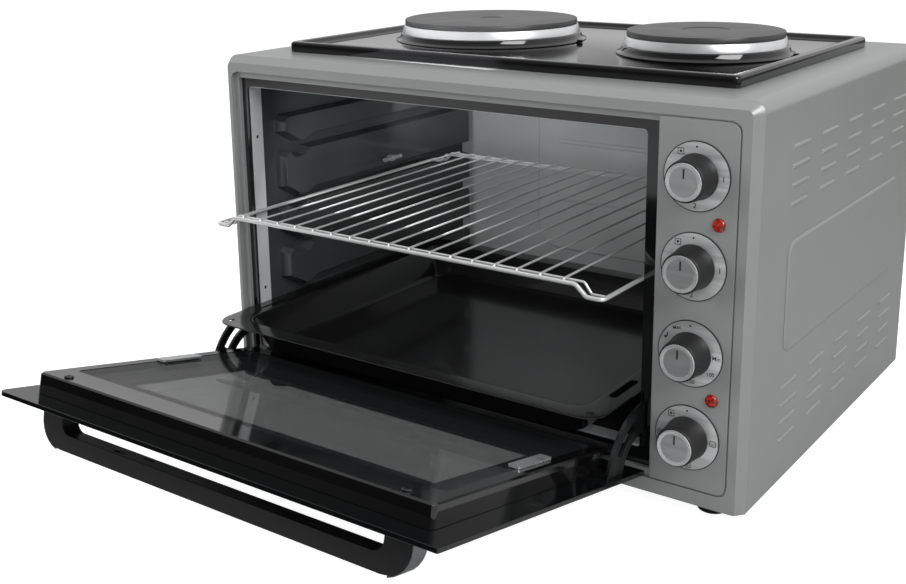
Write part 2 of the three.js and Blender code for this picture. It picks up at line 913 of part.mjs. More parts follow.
// The outline of one pressed panel, drawn in by a margin. A lip hangs down at its front and its
// top has a dip over the lip of the panel below, so that a rack is lifted to come out.
function guideLine([front, back, low, high], by, dipped) {
  const lean = by / 3;
  const lip = front + lipOut;
  const dip = front + dipOut;
  const bottom = [
    [front + by, low + lipRise + lean],
    [lip + lean, low - lipDrop + by],
    [lip + lipLength - lean, low - lipDrop + by],
    [lip + lipLength + lipFlank - lean, low + by],
    [back - by, low + by],
  ];
  const notch = [
    [dip + dipLength + dipFlank + lean, high - by],
    [dip + dipLength + lean, high - dipDeep - by],
    [dip - lean, high - dipDeep - by],
  ];
  const top = [
    [back - by, high - by],
    ...(dipped ? notch : []),
    [dip - dipFlank - lean, high - by],
    [front + by, high - guideNose - lean],
  ];
  return [...bottom, ...top].map(([y, z]) => new THREE.Vector2(y, z));
}

// One side wall of the cavity. Side is -1 for the left wall and 1 for the right.
function cavityWall(side) {
  const face = cavityX + side * cavityHalf;
  const back = face + side * sheet;
  const crest = face - side * guideOut;
  const sides = [cavityFront, cavityBack, cavityLow, cavityHigh];
  let wall = slab("yz", sides, edgeRadius, Math.min(face, back), Math.max(face, back), slotSteps);
  const panels = guidePanels();
  const raised = panels.map(([front, end, low, high]) => [
    front + guideFrontFlank,
    end,
    low + guideFlank,
    high - guideFlank,
  ]);
  const both = (i, by) => {
    const dipped = i + 1 < panels.length;
    return [guideLine(panels[i], by, dipped), guideLine(raised[i], by, dipped)];
  };
  for (let i = 0; i < panels.length; i += 1) {
    wall = join(wall, loft("yz", both(i, 0), [face, crest]));
  }
  for (let i = 0; i < panels.length; i += 1) {
    const [foot, top] = both(i, sheet);
    const levels = [back + side * overrun, face, crest + side * sheet];
    wall = cut(wall, loft("yz", [foot, foot, top], levels));
  }
  if (side > 0) {
    for (const [y, z] of elementHoles()) {
      const hole = new THREE.CylinderGeometry(
        elementRadius + seat,
        elementRadius + seat,
        sheet + 2 * overrun,
        smallRoundSteps,
      );
      wall = cut(wall, solid(hole.rotateZ(Math.PI / 2).translate(face, y, z)));
    }
  }
  return wall;
}

function elementHoles() {
  return elementHeights().flatMap((z) => [elementBack, elementFront].map((y) => [y, z]));
}

function elementHeights() {
  return [cavityLow + elementGap, cavityHigh - elementGap];
}

function heatingElement(z) {
  const right = cavityX + cavityHalf + sheet + elementOut;
  const left = cavityX - cavityHalf + elementSide;
  const corners = [
    at(right, elementBack, z),
    at(left, elementBack, z),
    at(left, elementFront, z),
    at(right, elementFront, z),
  ];
  return wire(rounded(corners, elementBend), elementRadius);
}

// The sensing bulb of the thermostat, in a clip on a pressed panel of the left wall.
function thermostatBulb() {
  const wall = cavityLeft + guideOut + seat;
  const x = wall + bulbOut;
  const z = runways[2] + runwayHigh + bulbRise;
  const middle = bulbFront + bulbLength / 2;
  const half = bulbClipWidth / 2;
  const tall = bulbRadius + edgeRadius / 2;
  const sides = [middle - half, middle + half, z - tall, z + tall];
  const clip = slab("yz", sides, edgeRadius, wall, x + bulbRadius / 2, slotSteps);
  return join(rodAlongY(bulbRadius, x, z, bulbFront, bulbFront + bulbLength), clip);
}

function cavityPlate(low) {
  const half = cavityHalf + sheet;
  const sides = [cavityX - half, cavityX + half, cavityFront, cavityBack];
  return slab("xy", sides, edgeRadius, low, low + sheet, slotSteps);
}

// The back wall, turned forwards round both upright corners.
function cavityBackWall() {
  const half = cavityHalf - seat;
  const lip = cavityBack - cavityCorner * 2;
  const turn = (reach, radius) => {
    const right = [];
    for (let step = 0; step <= cornerSteps; step += 1) {
      const angle = (Math.PI / 2) * (step / cornerSteps);
      right.push(
        new THREE.Vector2(
          cavityX + half - cavityCorner + radius * Math.cos(angle),
          cavityBack - cavityCorner + radius * Math.sin(angle),
        ),
      );
    }
    const left = right.map((p) => new THREE.Vector2(2 * cavityX - p.x, p.y)).reverse();
    return [
      new THREE.Vector2(cavityX + reach, lip),
      ...right,
      ...left,
      new THREE.Vector2(cavityX - reach, lip),
    ];
  };
  const line = [
    ...turn(half, cavityCorner),
    ...turn(half - sheet, cavityCorner - sheet).reverse(),
  ];
  const low = cavityLow + seat;
  const high = cavityHigh - seat;
  let wall = loft("xy", [line, line], [low, high]);
  const face = cavityBack - sheet;
  const field = [
    cavityLeft + fieldInset,
    cavityRight - fieldInset,
    cavityLow + fieldAboveFloor,
    cavityHigh - fieldBelowRoof,
  ];
  const fieldFace = face - fieldRise;
  const wide = outline(field, fieldRadius);
  const narrow = outline(inset(field, fieldRise), fieldRadius - fieldRise);
  const hollow = outline(inset(field, 2 * fieldRise), fieldRadius - 2 * fieldRise);
  wall = join(wall, loft("xz", [wide, narrow], [face + sheet / 2, fieldFace]));
  wall = cut(wall, loft("xz", [narrow, hollow], [cavityBack + overrun, fieldFace + sheet]));
  for (const z of ribShares.map(cavityAt)) {
    const rib = [field[0] + fieldRadius, field[1] - fieldRadius, z, z + ribHeight];
    const foot = outline(rib, fieldRise, slotSteps);
    const top = outline(inset(rib, edgeRadius), edgeRadius, slotSteps);
    wall = join(wall, loft("xz", [foot, top], [fieldFace + sheet / 2, fieldFace - edgeRadius]));
  }
  return wall;
}

function controlPanel() {
  const radii = [edgeRadius, recessRadius - groove, recessRadius - groove, edgeRadius];
  let panel = slab("xz", panelSides, radii, 0, panelThick);
  for (const z of controlHeights) {
    panel = cut(panel, rodAlongY(shaftHole, controlX, z, -overrun, panelThick + overrun));
  }
  for (const z of lampHeights) {
    panel = cut(panel, rodAlongY(lampStem + seat, lampX, z, -overrun, panelThick + overrun));
  }
  return panel;
}

function switchBody(z) {
  const from = panelThick + seat;
  const half = switchWidth / 2;
  const tall = switchHeight / 2;
  const sides = [controlX - half, controlX + half, z - tall, z + tall];
  const box = slab("xz", sides, edgeRadius, from, from + switchLength, slotSteps);
  const depth = shaftLength - knobLength / 2;
  return cut(box, rodAlongY(shaftRadius + seat, controlX, z, from - overrun, from + depth));
}

function dialPlate(z) {
  const back = -seat;
  const front = back - dialThick;
  const disc = rodAlongY(dialRadius, controlX, z, front, back, roundSteps);
  return cut(disc, rodAlongY(shaftHole, controlX, z, front - overrun, back + overrun));
}

const knobBack = -seat - dialThick - seat;

function knob(z) {
  const body = turnedForward([
    [0, 0],
    [skirtRadius - knobEdge, 0],
    [skirtRadius, knobEdge],
    [skirtRadius - knobEdge, knobEdge * 3],
    [knobRadius, knobLength - knobEdge],
    [knobRadius - knobEdge, knobLength],
    [0, knobLength],
  ]);
  const front = knobBack - knobLength / 2;
  const shaft = rodAlongY(shaftRadius, controlX, z, front, front + shaftLength);
  return join(solid(body.translate(controlX, knobBack, z)), shaft);
}

function knobCap(z) {
  const back = knobBack - knobLength - seat;
  const inner = capRadius - capRingWidth;
  const body = turnedForward([
    [0, 0],
    [capRadius, 0],
    [capRadius, capThick],
    [capRadius - capRingWidth / 4, capThick + capRingRise],
    [inner + capRingWidth / 4, capThick + capRingRise],
    [inner, capThick],
    [0, capThick],
  ]);
  const front = back - capThick;
  const half = markWidth / 2;
  const mark = slab(
    "xz",
    [controlX - half, controlX + half, z + markOut, z + markOut + markLength],
    half / 2,
    front - overrun,
    front + markDeep,
    slotSteps,
  );
  return cut(solid(body.translate(controlX, back, z)), mark);
}

function lamp(z) {
  const dome = Array.from({ length: cornerSteps + 1 }, (_, step) => {
    const angle = (Math.PI / 2) * (step / cornerSteps);
    return [lampRadius * Math.cos(angle), lampRise * Math.sin(angle)];
  });
  dome[cornerSteps][0] = 0;
  const body = turnedForward([[0, -lampLength], [lampStem, -lampLength], [lampStem, 0], ...dome],
    smallRoundSteps);
  return solid(body.translate(lampX, -seat, z));
}

function hobTray() {
  const sides = [-hobHalf, hobHalf, hobFront, hobFront + hobDepth];
  const ground = bodyHeight + seat;
  const top = bodyHeight + hobHigh;
  const floor = bodyHeight + hobFloor;
  const half = hobRimRound / 2;
  const body = loft(
    "xy",
    [
      outline(sides, hobRadius),
      outline(sides, hobRadius),
      outline(inset(sides, half / 2), hobRadius - half / 2),
      outline(inset(sides, hobRimRound), hobRadius - hobRimRound),
    ],
    [ground, top - hobRimRound, top - half / 2, top],
  );
  const rim = outline(inset(sides, hobRim), hobRadius);
  const pan = loft("xy", [outline(inset(sides, hobRim + hobRimSlope), hobRadius), rim, rim],
    [floor, top, top + overrun]);
  const under = slab("xy", inset(sides, hobRimRound), hobRadius - hobRimRound,
    bodyHeight - overrun, floor - sheet);
  let tray = cut(body, pan, under);
  for (const x of [bigPlateX, smallPlateX]) {
    tray = cut(tray, rodUpright(plateHoleRadius, x, hobMiddle, ground, floor + overrun));
  }
  return tray;
}

function onHob(profile, x) {
  return turnedAt(profile, x, hobMiddle, bodyHeight);
}

function hotplate(x, radius) {
  return onHob(
    [
      [0, plateLow - plateStudLength],
      [plateStud, plateLow - plateStudLength],
      [plateStud, plateLow],
      [radius - plateLip, plateLow],
      [radius - plateLip, plateHigh - plateSide],
      [radius, plateHigh - plateSide],
      [radius, plateHigh - plateEdge],
      [radius - plateEdge, plateHigh],
      [plateDishRadius + plateDish, plateHigh],
      [plateDishRadius, plateHigh - plateDish],
      [0, plateHigh - plateDish],
    ],
    x,
  );
}

function plateTrim(x, radius) {
  const high = plateHigh - plateSide - seat;
  const low = high - trimHigh;
  return onHob(
    [
      [radius - ringLap, high],
      [radius - ringLap, high - ringThick],
      [radius - ringThick / 2, high - ringThick],
      [radius + trimOut - ringThick, low],
      [radius + trimOut, low],
      [radius + ringThick / 2, high],
      [radius - ringLap, high],
    ],
    x,
  );
}

function spillRing(x, radius) {
  const high = plateHigh - plateSide - trimHigh - seat * 2;
  const low = hobFloor + seat;
  const outer = radius + trimOut + spillOut;
  return onHob(
    [
      [radius - ringThick, high],
      [radius - ringThick, high - ringThick],
      [radius + trimOut - ringThick, high - ringThick],
      [outer - 2 * ringThick, low],
      [outer, low],
      [outer, low + ringThick],
      [radius + trimOut + ringThick / 4, high],
      [radius - ringThick, high],
    ],
    x,
  );
}

const glassBack = glassThick / 2;

function doorGlass() {
  const sides = [cavityX - glassHalf, cavityX + glassHalf, glassLow, glassHigh];
  const radii = [glassCorner, edgeRadius, edgeRadius, glassCorner];
  return slab("xz", sides, radii, -glassBack, glassBack);
}

const doorFrameBack = glassBack + seat;
const doorFrameTop = doorFrameBack + doorFrameDeep;
const pocketFloor = doorFrameTop - innerGlassSink - innerGlassThick - seat;
const pocketSides = [
  cavityX - doorFrameHalf + pocketSide,
  cavityX + doorFrameHalf - pocketSide,
  doorFrameLow + pocketRear,
  doorFrameHigh - pocketEnd,
];

// The lower rail of the door frame: a round bar on the hinge line, a web and a skirt.
function hingeBar(left, right) {
  const bar = Array.from({ length: barrelSteps + 1 }, (_, step) => {
    const angle = Math.PI * (1 + step / barrelSteps);
    return new THREE.Vector2(barrelRadius * Math.cos(angle), barrelRadius * Math.sin(angle));
  });
  const skirtBack = doorFrameBack + doorSkirtDeep;
  const line = [
    ...bar,
    new THREE.Vector2(webOut, webHigh),
    new THREE.Vector2(skirtBack, doorSkirtLow),
    new THREE.Vector2(skirtBack, doorFrameLow + overrun),
    new THREE.Vector2(doorFrameBack, doorFrameLow + overrun),
    new THREE.Vector2(doorFrameBack, doorSkirtLow - seat),
    new THREE.Vector2(-glassBack, doorSkirtLow - seat),
  ];
  let rail = loft("yz", [line, line], [left, right]);
  for (const end of [left, right]) {
    const bore = new THREE.CylinderGeometry(pinBore, pinBore, 2 * pinLength, smallRoundSteps);
    rail = cut(rail, solid(bore.rotateZ(Math.PI / 2).translate(end, 0, 0)));
  }
  return rail;
}

function doorFrame() {
  const sides = [
    cavityX - doorFrameHalf,
    cavityX + doorFrameHalf,
    doorFrameLow,
    doorFrameHigh,
  ];
  const full = outline(sides, doorFrameCorner);
  const box = loft(
    "xz",
    [full, full, outline(inset(sides, doorFrameBevel), doorFrameCorner)],
    [doorFrameBack, doorFrameTop - doorFrameBevel, doorFrameTop],
  );
  const hinge = hingeBar(sides[0] + doorFrameCorner, sides[1] - doorFrameCorner);
  const pocket = slab("xz", pocketSides, pocketCorner, pocketFloor, doorFrameTop + overrun);
  const window = slab("xz", inset(pocketSides, windowIn), pocketCorner, 0, doorFrameTop);
  return cut(join(box, hinge), pocket, window);
}

function doorInnerGlass() {
  const from = pocketFloor + seat;
  const sides = inset(pocketSides, seat);
  return slab("xz", sides, pocketCorner, from, from + innerGlassThick);
}

function doorClip(side) {
  const x = cavityX + side * (doorFrameHalf - clipInset);
  const half = clipWidth / 2;
  const from = doorFrameTop + seat;
  const sides = [x - half, x + half, clipLow, clipLow + clipLength];
  return slab("xz", sides, edgeRadius, from, from + clipThick);
}

function doorScrew(side) {
  const from = doorFrameTop + seat;
  const x = cavityX + side * screwX;
  const head = new THREE.LatheGeometry(
    [
      [0, 0],
      [screwRadius, 0],
      [screwRadius, screwRise / 2],
      [screwRadius - screwRise / 2, screwRise],
      [0, screwRise],
    ].map(([radius, height]) => new THREE.Vector2(radius, height)),
    smallRoundSteps,
  );
  const socket = rodAlongY(screwSocket, x, screwHigh, from + screwRise / 2, from + overrun, 6);
  return cut(solid(head.translate(x, from, screwHigh)), socket);
}

const handleTop = -glassBack - seat;

const handleBottom = handleTop - handleDrop;

// Points on an arc about a centre that starts level with it and turns down, in quarter turns.
function bendDown(x, y, radius, turns) {
  return Array.from({ length: handleSteps + 1 }, (_, step) => {
    const angle = (-Math.PI / 2) * ((turns * step) / handleSteps);
    return [x + radius * Math.cos(angle), y + radius * Math.sin(angle)];
  });
}

// The outer side of one arm of the handle and of the bend below it, moved out by a margin.
function handleOuter(turns, out) {
  const [x, y] = [handleHalf - handleRadius, handleBottom + handleRadius];
  return [[handleHalf + out, handleTop], ...bendDown(x, y, handleRadius + out, turns)];
}

function handleInner() {
  const x = handleHalf - handleArm - handleInnerRadius;
  const y = handleBottom + handleBar + handleInnerRadius;
  return [[handleHalf - handleArm, handleTop], ...bendDown(x, y, handleInnerRadius, 1)];
}

function mirrored(half) {
  return [...half, ...half.map(([x, y]) => [-x, y]).reverse()];
}

function handle() {
  const around = [...mirrored(handleOuter(1, 0)), ...mirrored(handleInner()).reverse()];
  const line = around.map(([x, y]) => new THREE.Vector2(cavityX + x, y));
  let bar = loft("xy", [line, line], [handleLow, handleLow + handleWidth]);
  const face = handleBottom + handleBar;
  handleSlotsAt.forEach((reach, k) => {
    for (const side of [-1, 1]) {
      const x = cavityX + side * reach;
      const share = (k + 1) / (handleSlotsAt.length + 1);
      const z = handleLow + handleWidth * share;
      const sides = [
        x - handleSlotLength / 2,
        x + handleSlotLength / 2,
        z - handleSlotWidth / 2,
        z + handleSlotWidth / 2,
      ];
      const slot = slab("xz", sides, handleSlotWidth / 3, face - handleSlotDeep, face + overrun,
        slotSteps);
      bar = cut(bar, slot);
    }
  });
  return bar;
}

// A bright strip that follows the outside of one arm of the handle.
function handleEnd(side) {
  const inside = handleOuter(handleEndShare, seat);
  const outside = handleOuter(handleEndShare, seat + handleEndThick);
  const around = [...inside, ...outside.reverse()];
  const line = around.map(([x, y]) => new THREE.Vector2(cavityX + side * x, y));
  return loft("xy", [line, line], [handleLow, handleLow + handleWidth]);
}

// Points on an arc about the hinge line, with angles counted from the closed door into the oven.
function armArc(radius, from, to) {
  return Array.from({ length: arcSteps + 1 }, (_, step) => {
    const angle = THREE.MathUtils.degToRad(from + ((to - from) * step) / arcSteps);
    return new THREE.Vector2(radius * Math.sin(angle), radius * Math.cos(angle));
  });
}

function armSector(x, inner, outer, from, to, margin) {
  const line = [...armArc(outer, from, to), ...armArc(inner, from, to).reverse()];
  return loft("yz", [line, line], [x - armThick / 2 - margin, x + armThick / 2 + margin]);
}

function hingeArm(side) {
  const x = cavityX + side * armX;
  const band = armSector(x, armInner, armOuter, armStartAngle, armEndAngle, 0);
  const hook = armSector(x, armInner, armHookOuter, armHookAngle, armEndAngle, 0);
  const slot = armSector(x, armSlotInner, armSlotOuter, armSlotStartAngle, armSlotEndAngle,
    overrun);
  const inner = cavityX + side * (doorFrameHalf + seat);
  const outer = x + (side * armThick) / 2;
  const foot = slab(
    "xz",
    [Math.min(inner, outer), Math.max(inner, outer), armInner, armOuter],
    edgeRadius,
    glassBack + seat,
    glassBack + seat + armFoot,
  );
  return cut(join(band, hook, foot), slot);
}

// The frame wire of the rack, its raised ends, its double end wires and its bars, as one body.
function rack() {
  const ends = [rackFront, rackBack];
  const side = (reach, y, z) => at(cavityX + reach, y, z);
  const loop = [];
  const bends = (y) => [
    side(-rackBendOuter, y, rackLow),
    side(-rackBendInner, y, rackHigh),
    side(rackBendInner, y, rackHigh),
    side(rackBendOuter, y, rackLow),
  ];
  const middle = (ends[0] + ends[1]) / 2;
  loop.push(side(-rackHalf, middle, rackLow), side(-rackHalf, ends[0], rackLow));
  loop.push(...bends(ends[0]), side(rackHalf, ends[0], rackLow));
  const near = [...loop, side(rackHalf, middle + rackFrameWire, rackLow)];
  const far = near.map((p) => at(p.x, 2 * middle - p.y, p.z));
  const bend = rackCorner / 2;
  let frame = join(
    wire(rounded(near, bend), rackFrameWire),
    wire(rounded(far, bend), rackFrameWire),
  );
  const crossReach = rackBendInner + rackCorner / 2;
  ends.forEach((y, k) => {
    const inner = y + (k ? -rackCrossInset : rackCrossInset);
    const cross = wire(
      [side(-rackHalf, inner, rackLow), side(-rackBendOuter, inner, rackLow),
        side(-crossReach, inner, rackHigh), side(crossReach, inner, rackHigh),
        side(rackBendOuter, inner, rackLow), side(rackHalf, inner, rackLow)],
      rackWire,
    );
    frame = join(frame, cross);
  });
  for (let i = 0; i < rackBarCount; i += 1) {
    const x = -rackBarSpan + (2 * rackBarSpan * i) / (rackBarCount - 1);
    const bar = [
      side(x, ends[0] + rackWire / 2, rackBarHigh - rackBarDrop),
      side(x, ends[0] + rackBarDrop, rackBarHigh),
      side(x, ends[1] - rackBarDrop, rackBarHigh),
      side(x, ends[1] - rackWire / 2, rackBarHigh - rackBarDrop),
    ];
    frame = join(frame, wire(bar, rackWire));
  }
  return frame;
}

function bakingTray() {
  const sides = [cavityX - trayHalf, cavityX + trayHalf, trayFront, trayBack];
  const mouth = [
    sides[0] + trayRimWide,
    sides[1] - trayRimWide,
    sides[2] + trayRimNarrow,
    sides[3] - trayRimNarrow,
  ];
  const floor = inset(mouth, traySlope);
  const rim = slab("xy", sides, trayRimRadius, trayHigh - trayThick, trayHigh);
  const pan = loft(
    "xy",
    [
      outline(inset(floor, -trayThick), trayFloorRadius),
      outline(inset(mouth, -trayThick), trayPanRadius),
    ],
    [trayLow, trayHigh - trayThick / 2],
  );
  const wide = outline(mouth, trayPanRadius);
  const hollow = loft(
    "xy",
    [outline(floor, trayFloorRadius), wide, wide],
    [trayLow + trayThick, trayHigh, trayHigh + overrun],
  );
  let tray = cut(join(rim, pan), hollow);
  for (const side of [-1, 1]) {
    const x = cavityX + side * (trayHalf - trayHoleIn);
    for (const y of [trayFront + trayHoleIn, trayBack - trayHoleIn]) {
      const hole = rodUpright(trayHoleRadius, x, y, trayHigh - overrun * 2, trayHigh + overrun);
      tray = cut(tray, hole);
    }
    const slotX = cavityX + side * (trayHalf - traySlotInset);
    const slot = [
      slotX - traySlotWidth / 2,
      slotX + traySlotWidth / 2,
      traySlotFront,
      traySlotFront + traySlotLength,
    ];
    tray = cut(tray, slab("xy", slot, traySlotWidth / 2, trayHigh - overrun * 2,
      trayHigh + overrun, slotSteps));
  }
  return tray;
}

addPiece("housing_wrapper", wrapper(), "greyPaint");
addPiece("front_bezel", bezel(), "greyPaint");
addPiece("back_panel", backPanel(), "greyPaint");
addPiece("base_plate", basePlate(), "zinc");
footPlaces().forEach(([x, y], i) => addPiece(`foot_${i + 1}`, foot(x, y), "rubber"));
addPiece("cord_gland", gland(), "blackPlastic");

addPiece("opening_frame", openingFrame(), "blackEnamel");
addPiece("opening_collar", collar(), "zinc");
addPiece("cavity_left_wall", cavityWall(-1), "greyEnamel");
addPiece("cavity_right_wall", cavityWall(1), "greyEnamel");
addPiece("cavity_roof", cavityPlate(cavityHigh + seat), "greyEnamel");
addPiece("cavity_floor", cavityPlate(cavityLow - seat - sheet), "greyEnamel");
addPiece("thermostat_bulb", thermostatBulb(), "zinc");
addPiece("cavity_back_wall", cavityBackWall(), "greyEnamel");
elementHeights().forEach((z, i) => {
  addPiece(["lower_element", "upper_element"][i], heatingElement(z), "zinc");
});

addPiece("control_panel", controlPanel(), "greyPaint");
controlHeights.toReversed().forEach((z, i) => {
  addPiece(`dial_plate_${i + 1}`, dialPlate(z), "brushedSteel");
  addPiece(`knob_${i + 1}`, knob(z), "blackPlastic");
  addPiece(`knob_cap_${i + 1}`, knobCap(z), "brushedSteel");
  addPiece(`rotary_switch_${i + 1}`, switchBody(z), "ceramic");
});
lampHeights.toReversed().forEach((z, i) => addPiece(`pilot_lamp_${i + 1}`, lamp(z), "redLens"));

addPiece("hob_tray", hobTray(), "blackEnamel");
for (const [size, x, radius] of [
  ["large", bigPlateX, bigPlateRadius],
  ["small", smallPlateX, smallPlateRadius],
]) {
  addPiece(`${size}_hotplate`, hotplate(x, radius), "castIron");
  addPiece(`${size}_plate_trim`, plateTrim(x, radius), "chrome");
  addPiece(`${size}_spill_ring`, spillRing(x, radius), "blackEnamel");
}

addPiece("door_outer_glass", doorGlass(), "darkGlass", door);
addPiece("door_frame", doorFrame(), "blackEnamel", door);
addPiece("door_inner_glass", doorInnerGlass(), "greyGlass", door);
addPiece("door_handle", handle(), "blackPlastic", door);
[-1, 1].forEach((side, i) => {
  const word = ["left", "right"][i];
  addPiece(`door_clip_${word}`, doorClip(side), "zinc", door);
  addPiece(`door_screw_${word}`, doorScrew(side), "zinc", door);
  addPiece(`handle_end_${word}`, handleEnd(side), "brushedSteel", door);
  addPiece(`hinge_arm_${word}`, hingeArm(side), "zinc", door);
});
door.position.set(0, hingeY, hingeZ);
door.rotation.x = THREE.MathUtils.degToRad(doorAngle);
oven.add(door);

addPiece("wire_rack", rack(), "chrome");
addPiece("baking_tray", bakingTray(), "blackEnamel");

// The middle of the whole object goes to X 0 and Y 0, and the underside of the feet to Z 0.
const opening = THREE.MathUtils.degToRad(doorAngle);
const frontmost = hingeY - glassHigh * Math.sin(opening) - glassBack * Math.cos(opening);
const rearmost = bodyDepth + glandOut;
oven.position.set(0, -(frontmost + rearmost) / 2, footHigh);

export default oven;
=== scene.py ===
import math

import bpy
from mathutils import Matrix, Vector


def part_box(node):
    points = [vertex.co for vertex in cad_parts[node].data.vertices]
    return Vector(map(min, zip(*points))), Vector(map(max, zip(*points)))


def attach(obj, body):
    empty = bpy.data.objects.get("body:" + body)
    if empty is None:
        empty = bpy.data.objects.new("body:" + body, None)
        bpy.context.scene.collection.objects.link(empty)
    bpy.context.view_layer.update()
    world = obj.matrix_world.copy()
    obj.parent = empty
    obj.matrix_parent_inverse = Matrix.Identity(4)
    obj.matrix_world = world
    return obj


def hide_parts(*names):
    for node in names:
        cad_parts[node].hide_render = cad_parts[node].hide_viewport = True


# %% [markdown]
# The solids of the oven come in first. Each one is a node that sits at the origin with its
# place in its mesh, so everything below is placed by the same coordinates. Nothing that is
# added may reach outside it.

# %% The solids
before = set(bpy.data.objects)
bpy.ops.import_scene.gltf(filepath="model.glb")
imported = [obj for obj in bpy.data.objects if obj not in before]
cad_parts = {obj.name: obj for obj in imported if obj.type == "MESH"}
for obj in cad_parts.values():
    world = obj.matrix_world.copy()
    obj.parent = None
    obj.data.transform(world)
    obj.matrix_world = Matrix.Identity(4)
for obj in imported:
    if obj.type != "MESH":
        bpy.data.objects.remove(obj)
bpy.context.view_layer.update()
print("nodes", len(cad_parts))

# %% [markdown]
# The camera stands in front of the oven, to its right and a little above it. A photographer
# would use a lens of about 50 mm here. A small downward shift keeps the upright edges of the
# body nearly upright, which a tilt alone would not do.

# %% Camera
camera_data = bpy.data.cameras.new("camera")
camera = bpy.data.objects.new("camera", camera_data)
bpy.context.scene.collection.objects.link(camera)
camera_data.sensor_width = 36
camera_data.lens = 48.62
camera_data.shift_y = -0.09
camera_data.clip_start = 0.01
camera_place = (0.63425, -0.95116, 0.51557)
heading, tilt_down, roll = (math.radians(a) for a in (35.709, 14.4256, -0.7377))
camera.matrix_world = (
    Matrix.Translation(camera_place)
    @ Matrix.Rotation(heading, 4, "Z")
    @ Matrix.Rotation(math.pi / 2 - tilt_down, 4, "X")
    @ Matrix.Rotation(roll, 4, "Z")
)
bpy.context.scene.camera = camera
bpy.context.scene.view_settings.view_transform = "Standard"
print("camera at", tuple(round(v, 3) for v in camera.matrix_world.translation))

# %% [markdown]
# Materials and the world are made of nodes. Two kinds come up again and again: one stretches a
# value from one range to another, and one does a sum. Each gets a helper, which takes a number
# or the output of another node, so that later cells read like a list of what they do.


# %% Helpers for nodes
def feed(tree, given, socket):
    """Sets a socket to a number, or links it where the output of a node is given."""
    if isinstance(given, (int, float)):
        socket.default_value = given
    else:
        tree.links.new(given, socket)


def spread(tree, value, low, high, start=0.3, end=0.7):
    """Stretches the range from start to end over the range from low to high."""
    node = tree.nodes.new("ShaderNodeMapRange")
    feed(tree, start, node.inputs["From Min"])
    feed(tree, end, node.inputs["From Max"])
    feed(tree, low, node.inputs["To Min"])
    feed(tree, high, node.inputs["To Max"])
    feed(tree, value, node.inputs["Value"])
    return node.outputs["Result"]


def reckon(tree, operation, *values):
    """One sum of the values, such as MAXIMUM or MULTIPLY."""
    node = tree.nodes.new("ShaderNodeMath")
    node.operation = operation
    for i, value in enumerate(values):
        feed(tree, value, node.inputs[i])
    return node.outputs[0]


# %% [markdown]
# A real studio would put the oven on a white sweep under large soft lamps. Here the world is
# white to the camera and through glass, and dimmer where it only lights things, so that colours
# come out as they are written. Mirror-like surfaces see the same white backdrop, which fades
# towards the horizon on the left and towards the dark side of the room behind the camera, as
# it does in a real studio.

# %% World
soft_fill = 0.24
world = bpy.data.worlds.new("studio")
bpy.context.scene.world = world
world.use_nodes = True
tree = world.node_tree
tree.nodes.clear()
background = tree.nodes.new("ShaderNodeBackground")
background.inputs["Color"].default_value = (1, 1, 1, 1)
ray = tree.nodes.new("ShaderNodeLightPath").outputs
split = tree.nodes.new("ShaderNodeSeparateXYZ")
direction = tree.nodes.new("ShaderNodeTexCoord").outputs["Generated"]
tree.links.new(direction, split.inputs["Vector"])
# How bright a mirror sees the backdrop: low and high share, and where along the axis they lie.
room = spread(tree, split.outputs["Y"], 0.18, 0.8, -0.6, 0.3)
left_dusk = spread(tree, split.outputs["X"], 0.06, 1, -0.1, 0.25)
horizon = spread(tree, split.outputs["Z"], left_dusk, 1, -0.02, 0.16)
around = reckon(tree, "MULTIPLY", room, horizon)
mirrored = spread(tree, ray["Is Glossy Ray"], soft_fill, around, 0, 1)
seen = reckon(tree, "MAXIMUM", ray["Is Camera Ray"], ray["Is Transmission Ray"])
feed(tree, reckon(tree, "MAXIMUM", mirrored, seen), background.inputs["Strength"])
world_out = tree.nodes.new("ShaderNodeOutputWorld")
tree.links.new(background.outputs[0], world_out.inputs["Surface"])
print("world nodes", len(tree.nodes))

# %% [markdown]
# Large square lamps stand round the oven, and two small ones light the cavity from under its
# roof, where the photograph shows a bright back wall. Only the side lamp shows in shiny
# surfaces, where it draws the bright edges.


# %% Lamps of the studio
def lamp(name, place, target, size, power, mirrored=False):
    """A square lamp. Only one that is mirrored shows in shiny surfaces."""
    data = bpy.data.lights.new(name, "AREA")
    data.shape = "SQUARE"
    data.size = size
    data.energy = power
    lamp_object = bpy.data.objects.new(name, data)
    bpy.context.scene.collection.objects.link(lamp_object)
    aim = Vector(target) - Vector(place)
    lamp_object.location = place
    lamp_object.rotation_euler = aim.to_track_quat("-Z", "Y").to_euler()
    lamp_object.visible_glossy = mirrored


oven_middle = (0, 0, 0.2)
lamp("top_lamp", (0.1, 0.3, 2.2), oven_middle, 1.8, 17)
lamp("front_lamp", (1.2, -2.2, 0.8), oven_middle, 1.2, 15)
lamp("left_lamp", (-1.8, -1.4, 1.0), oven_middle, 1.2, 28)
lamp("side_lamp", (1.9, -0.8, 1.7), oven_middle, 1.2, 42, mirrored=True)
lamp("cavity_lamp", (-0.1, -0.03, 0.318), (-0.08, 0.36, 0.2), 0.22, 0.9)
lamp("back_wall_lamp", (-0.19, 0.18, 0.316), (-0.2, 0.36, 0.24), 0.1, 0.22)
print("lamps", len(bpy.data.lights))

# %% [markdown]
# The floor is a sheet of plain paper. It glows only for the camera and through glass, which
# makes it as white as the backdrop and still leaves it the shadow of the oven.


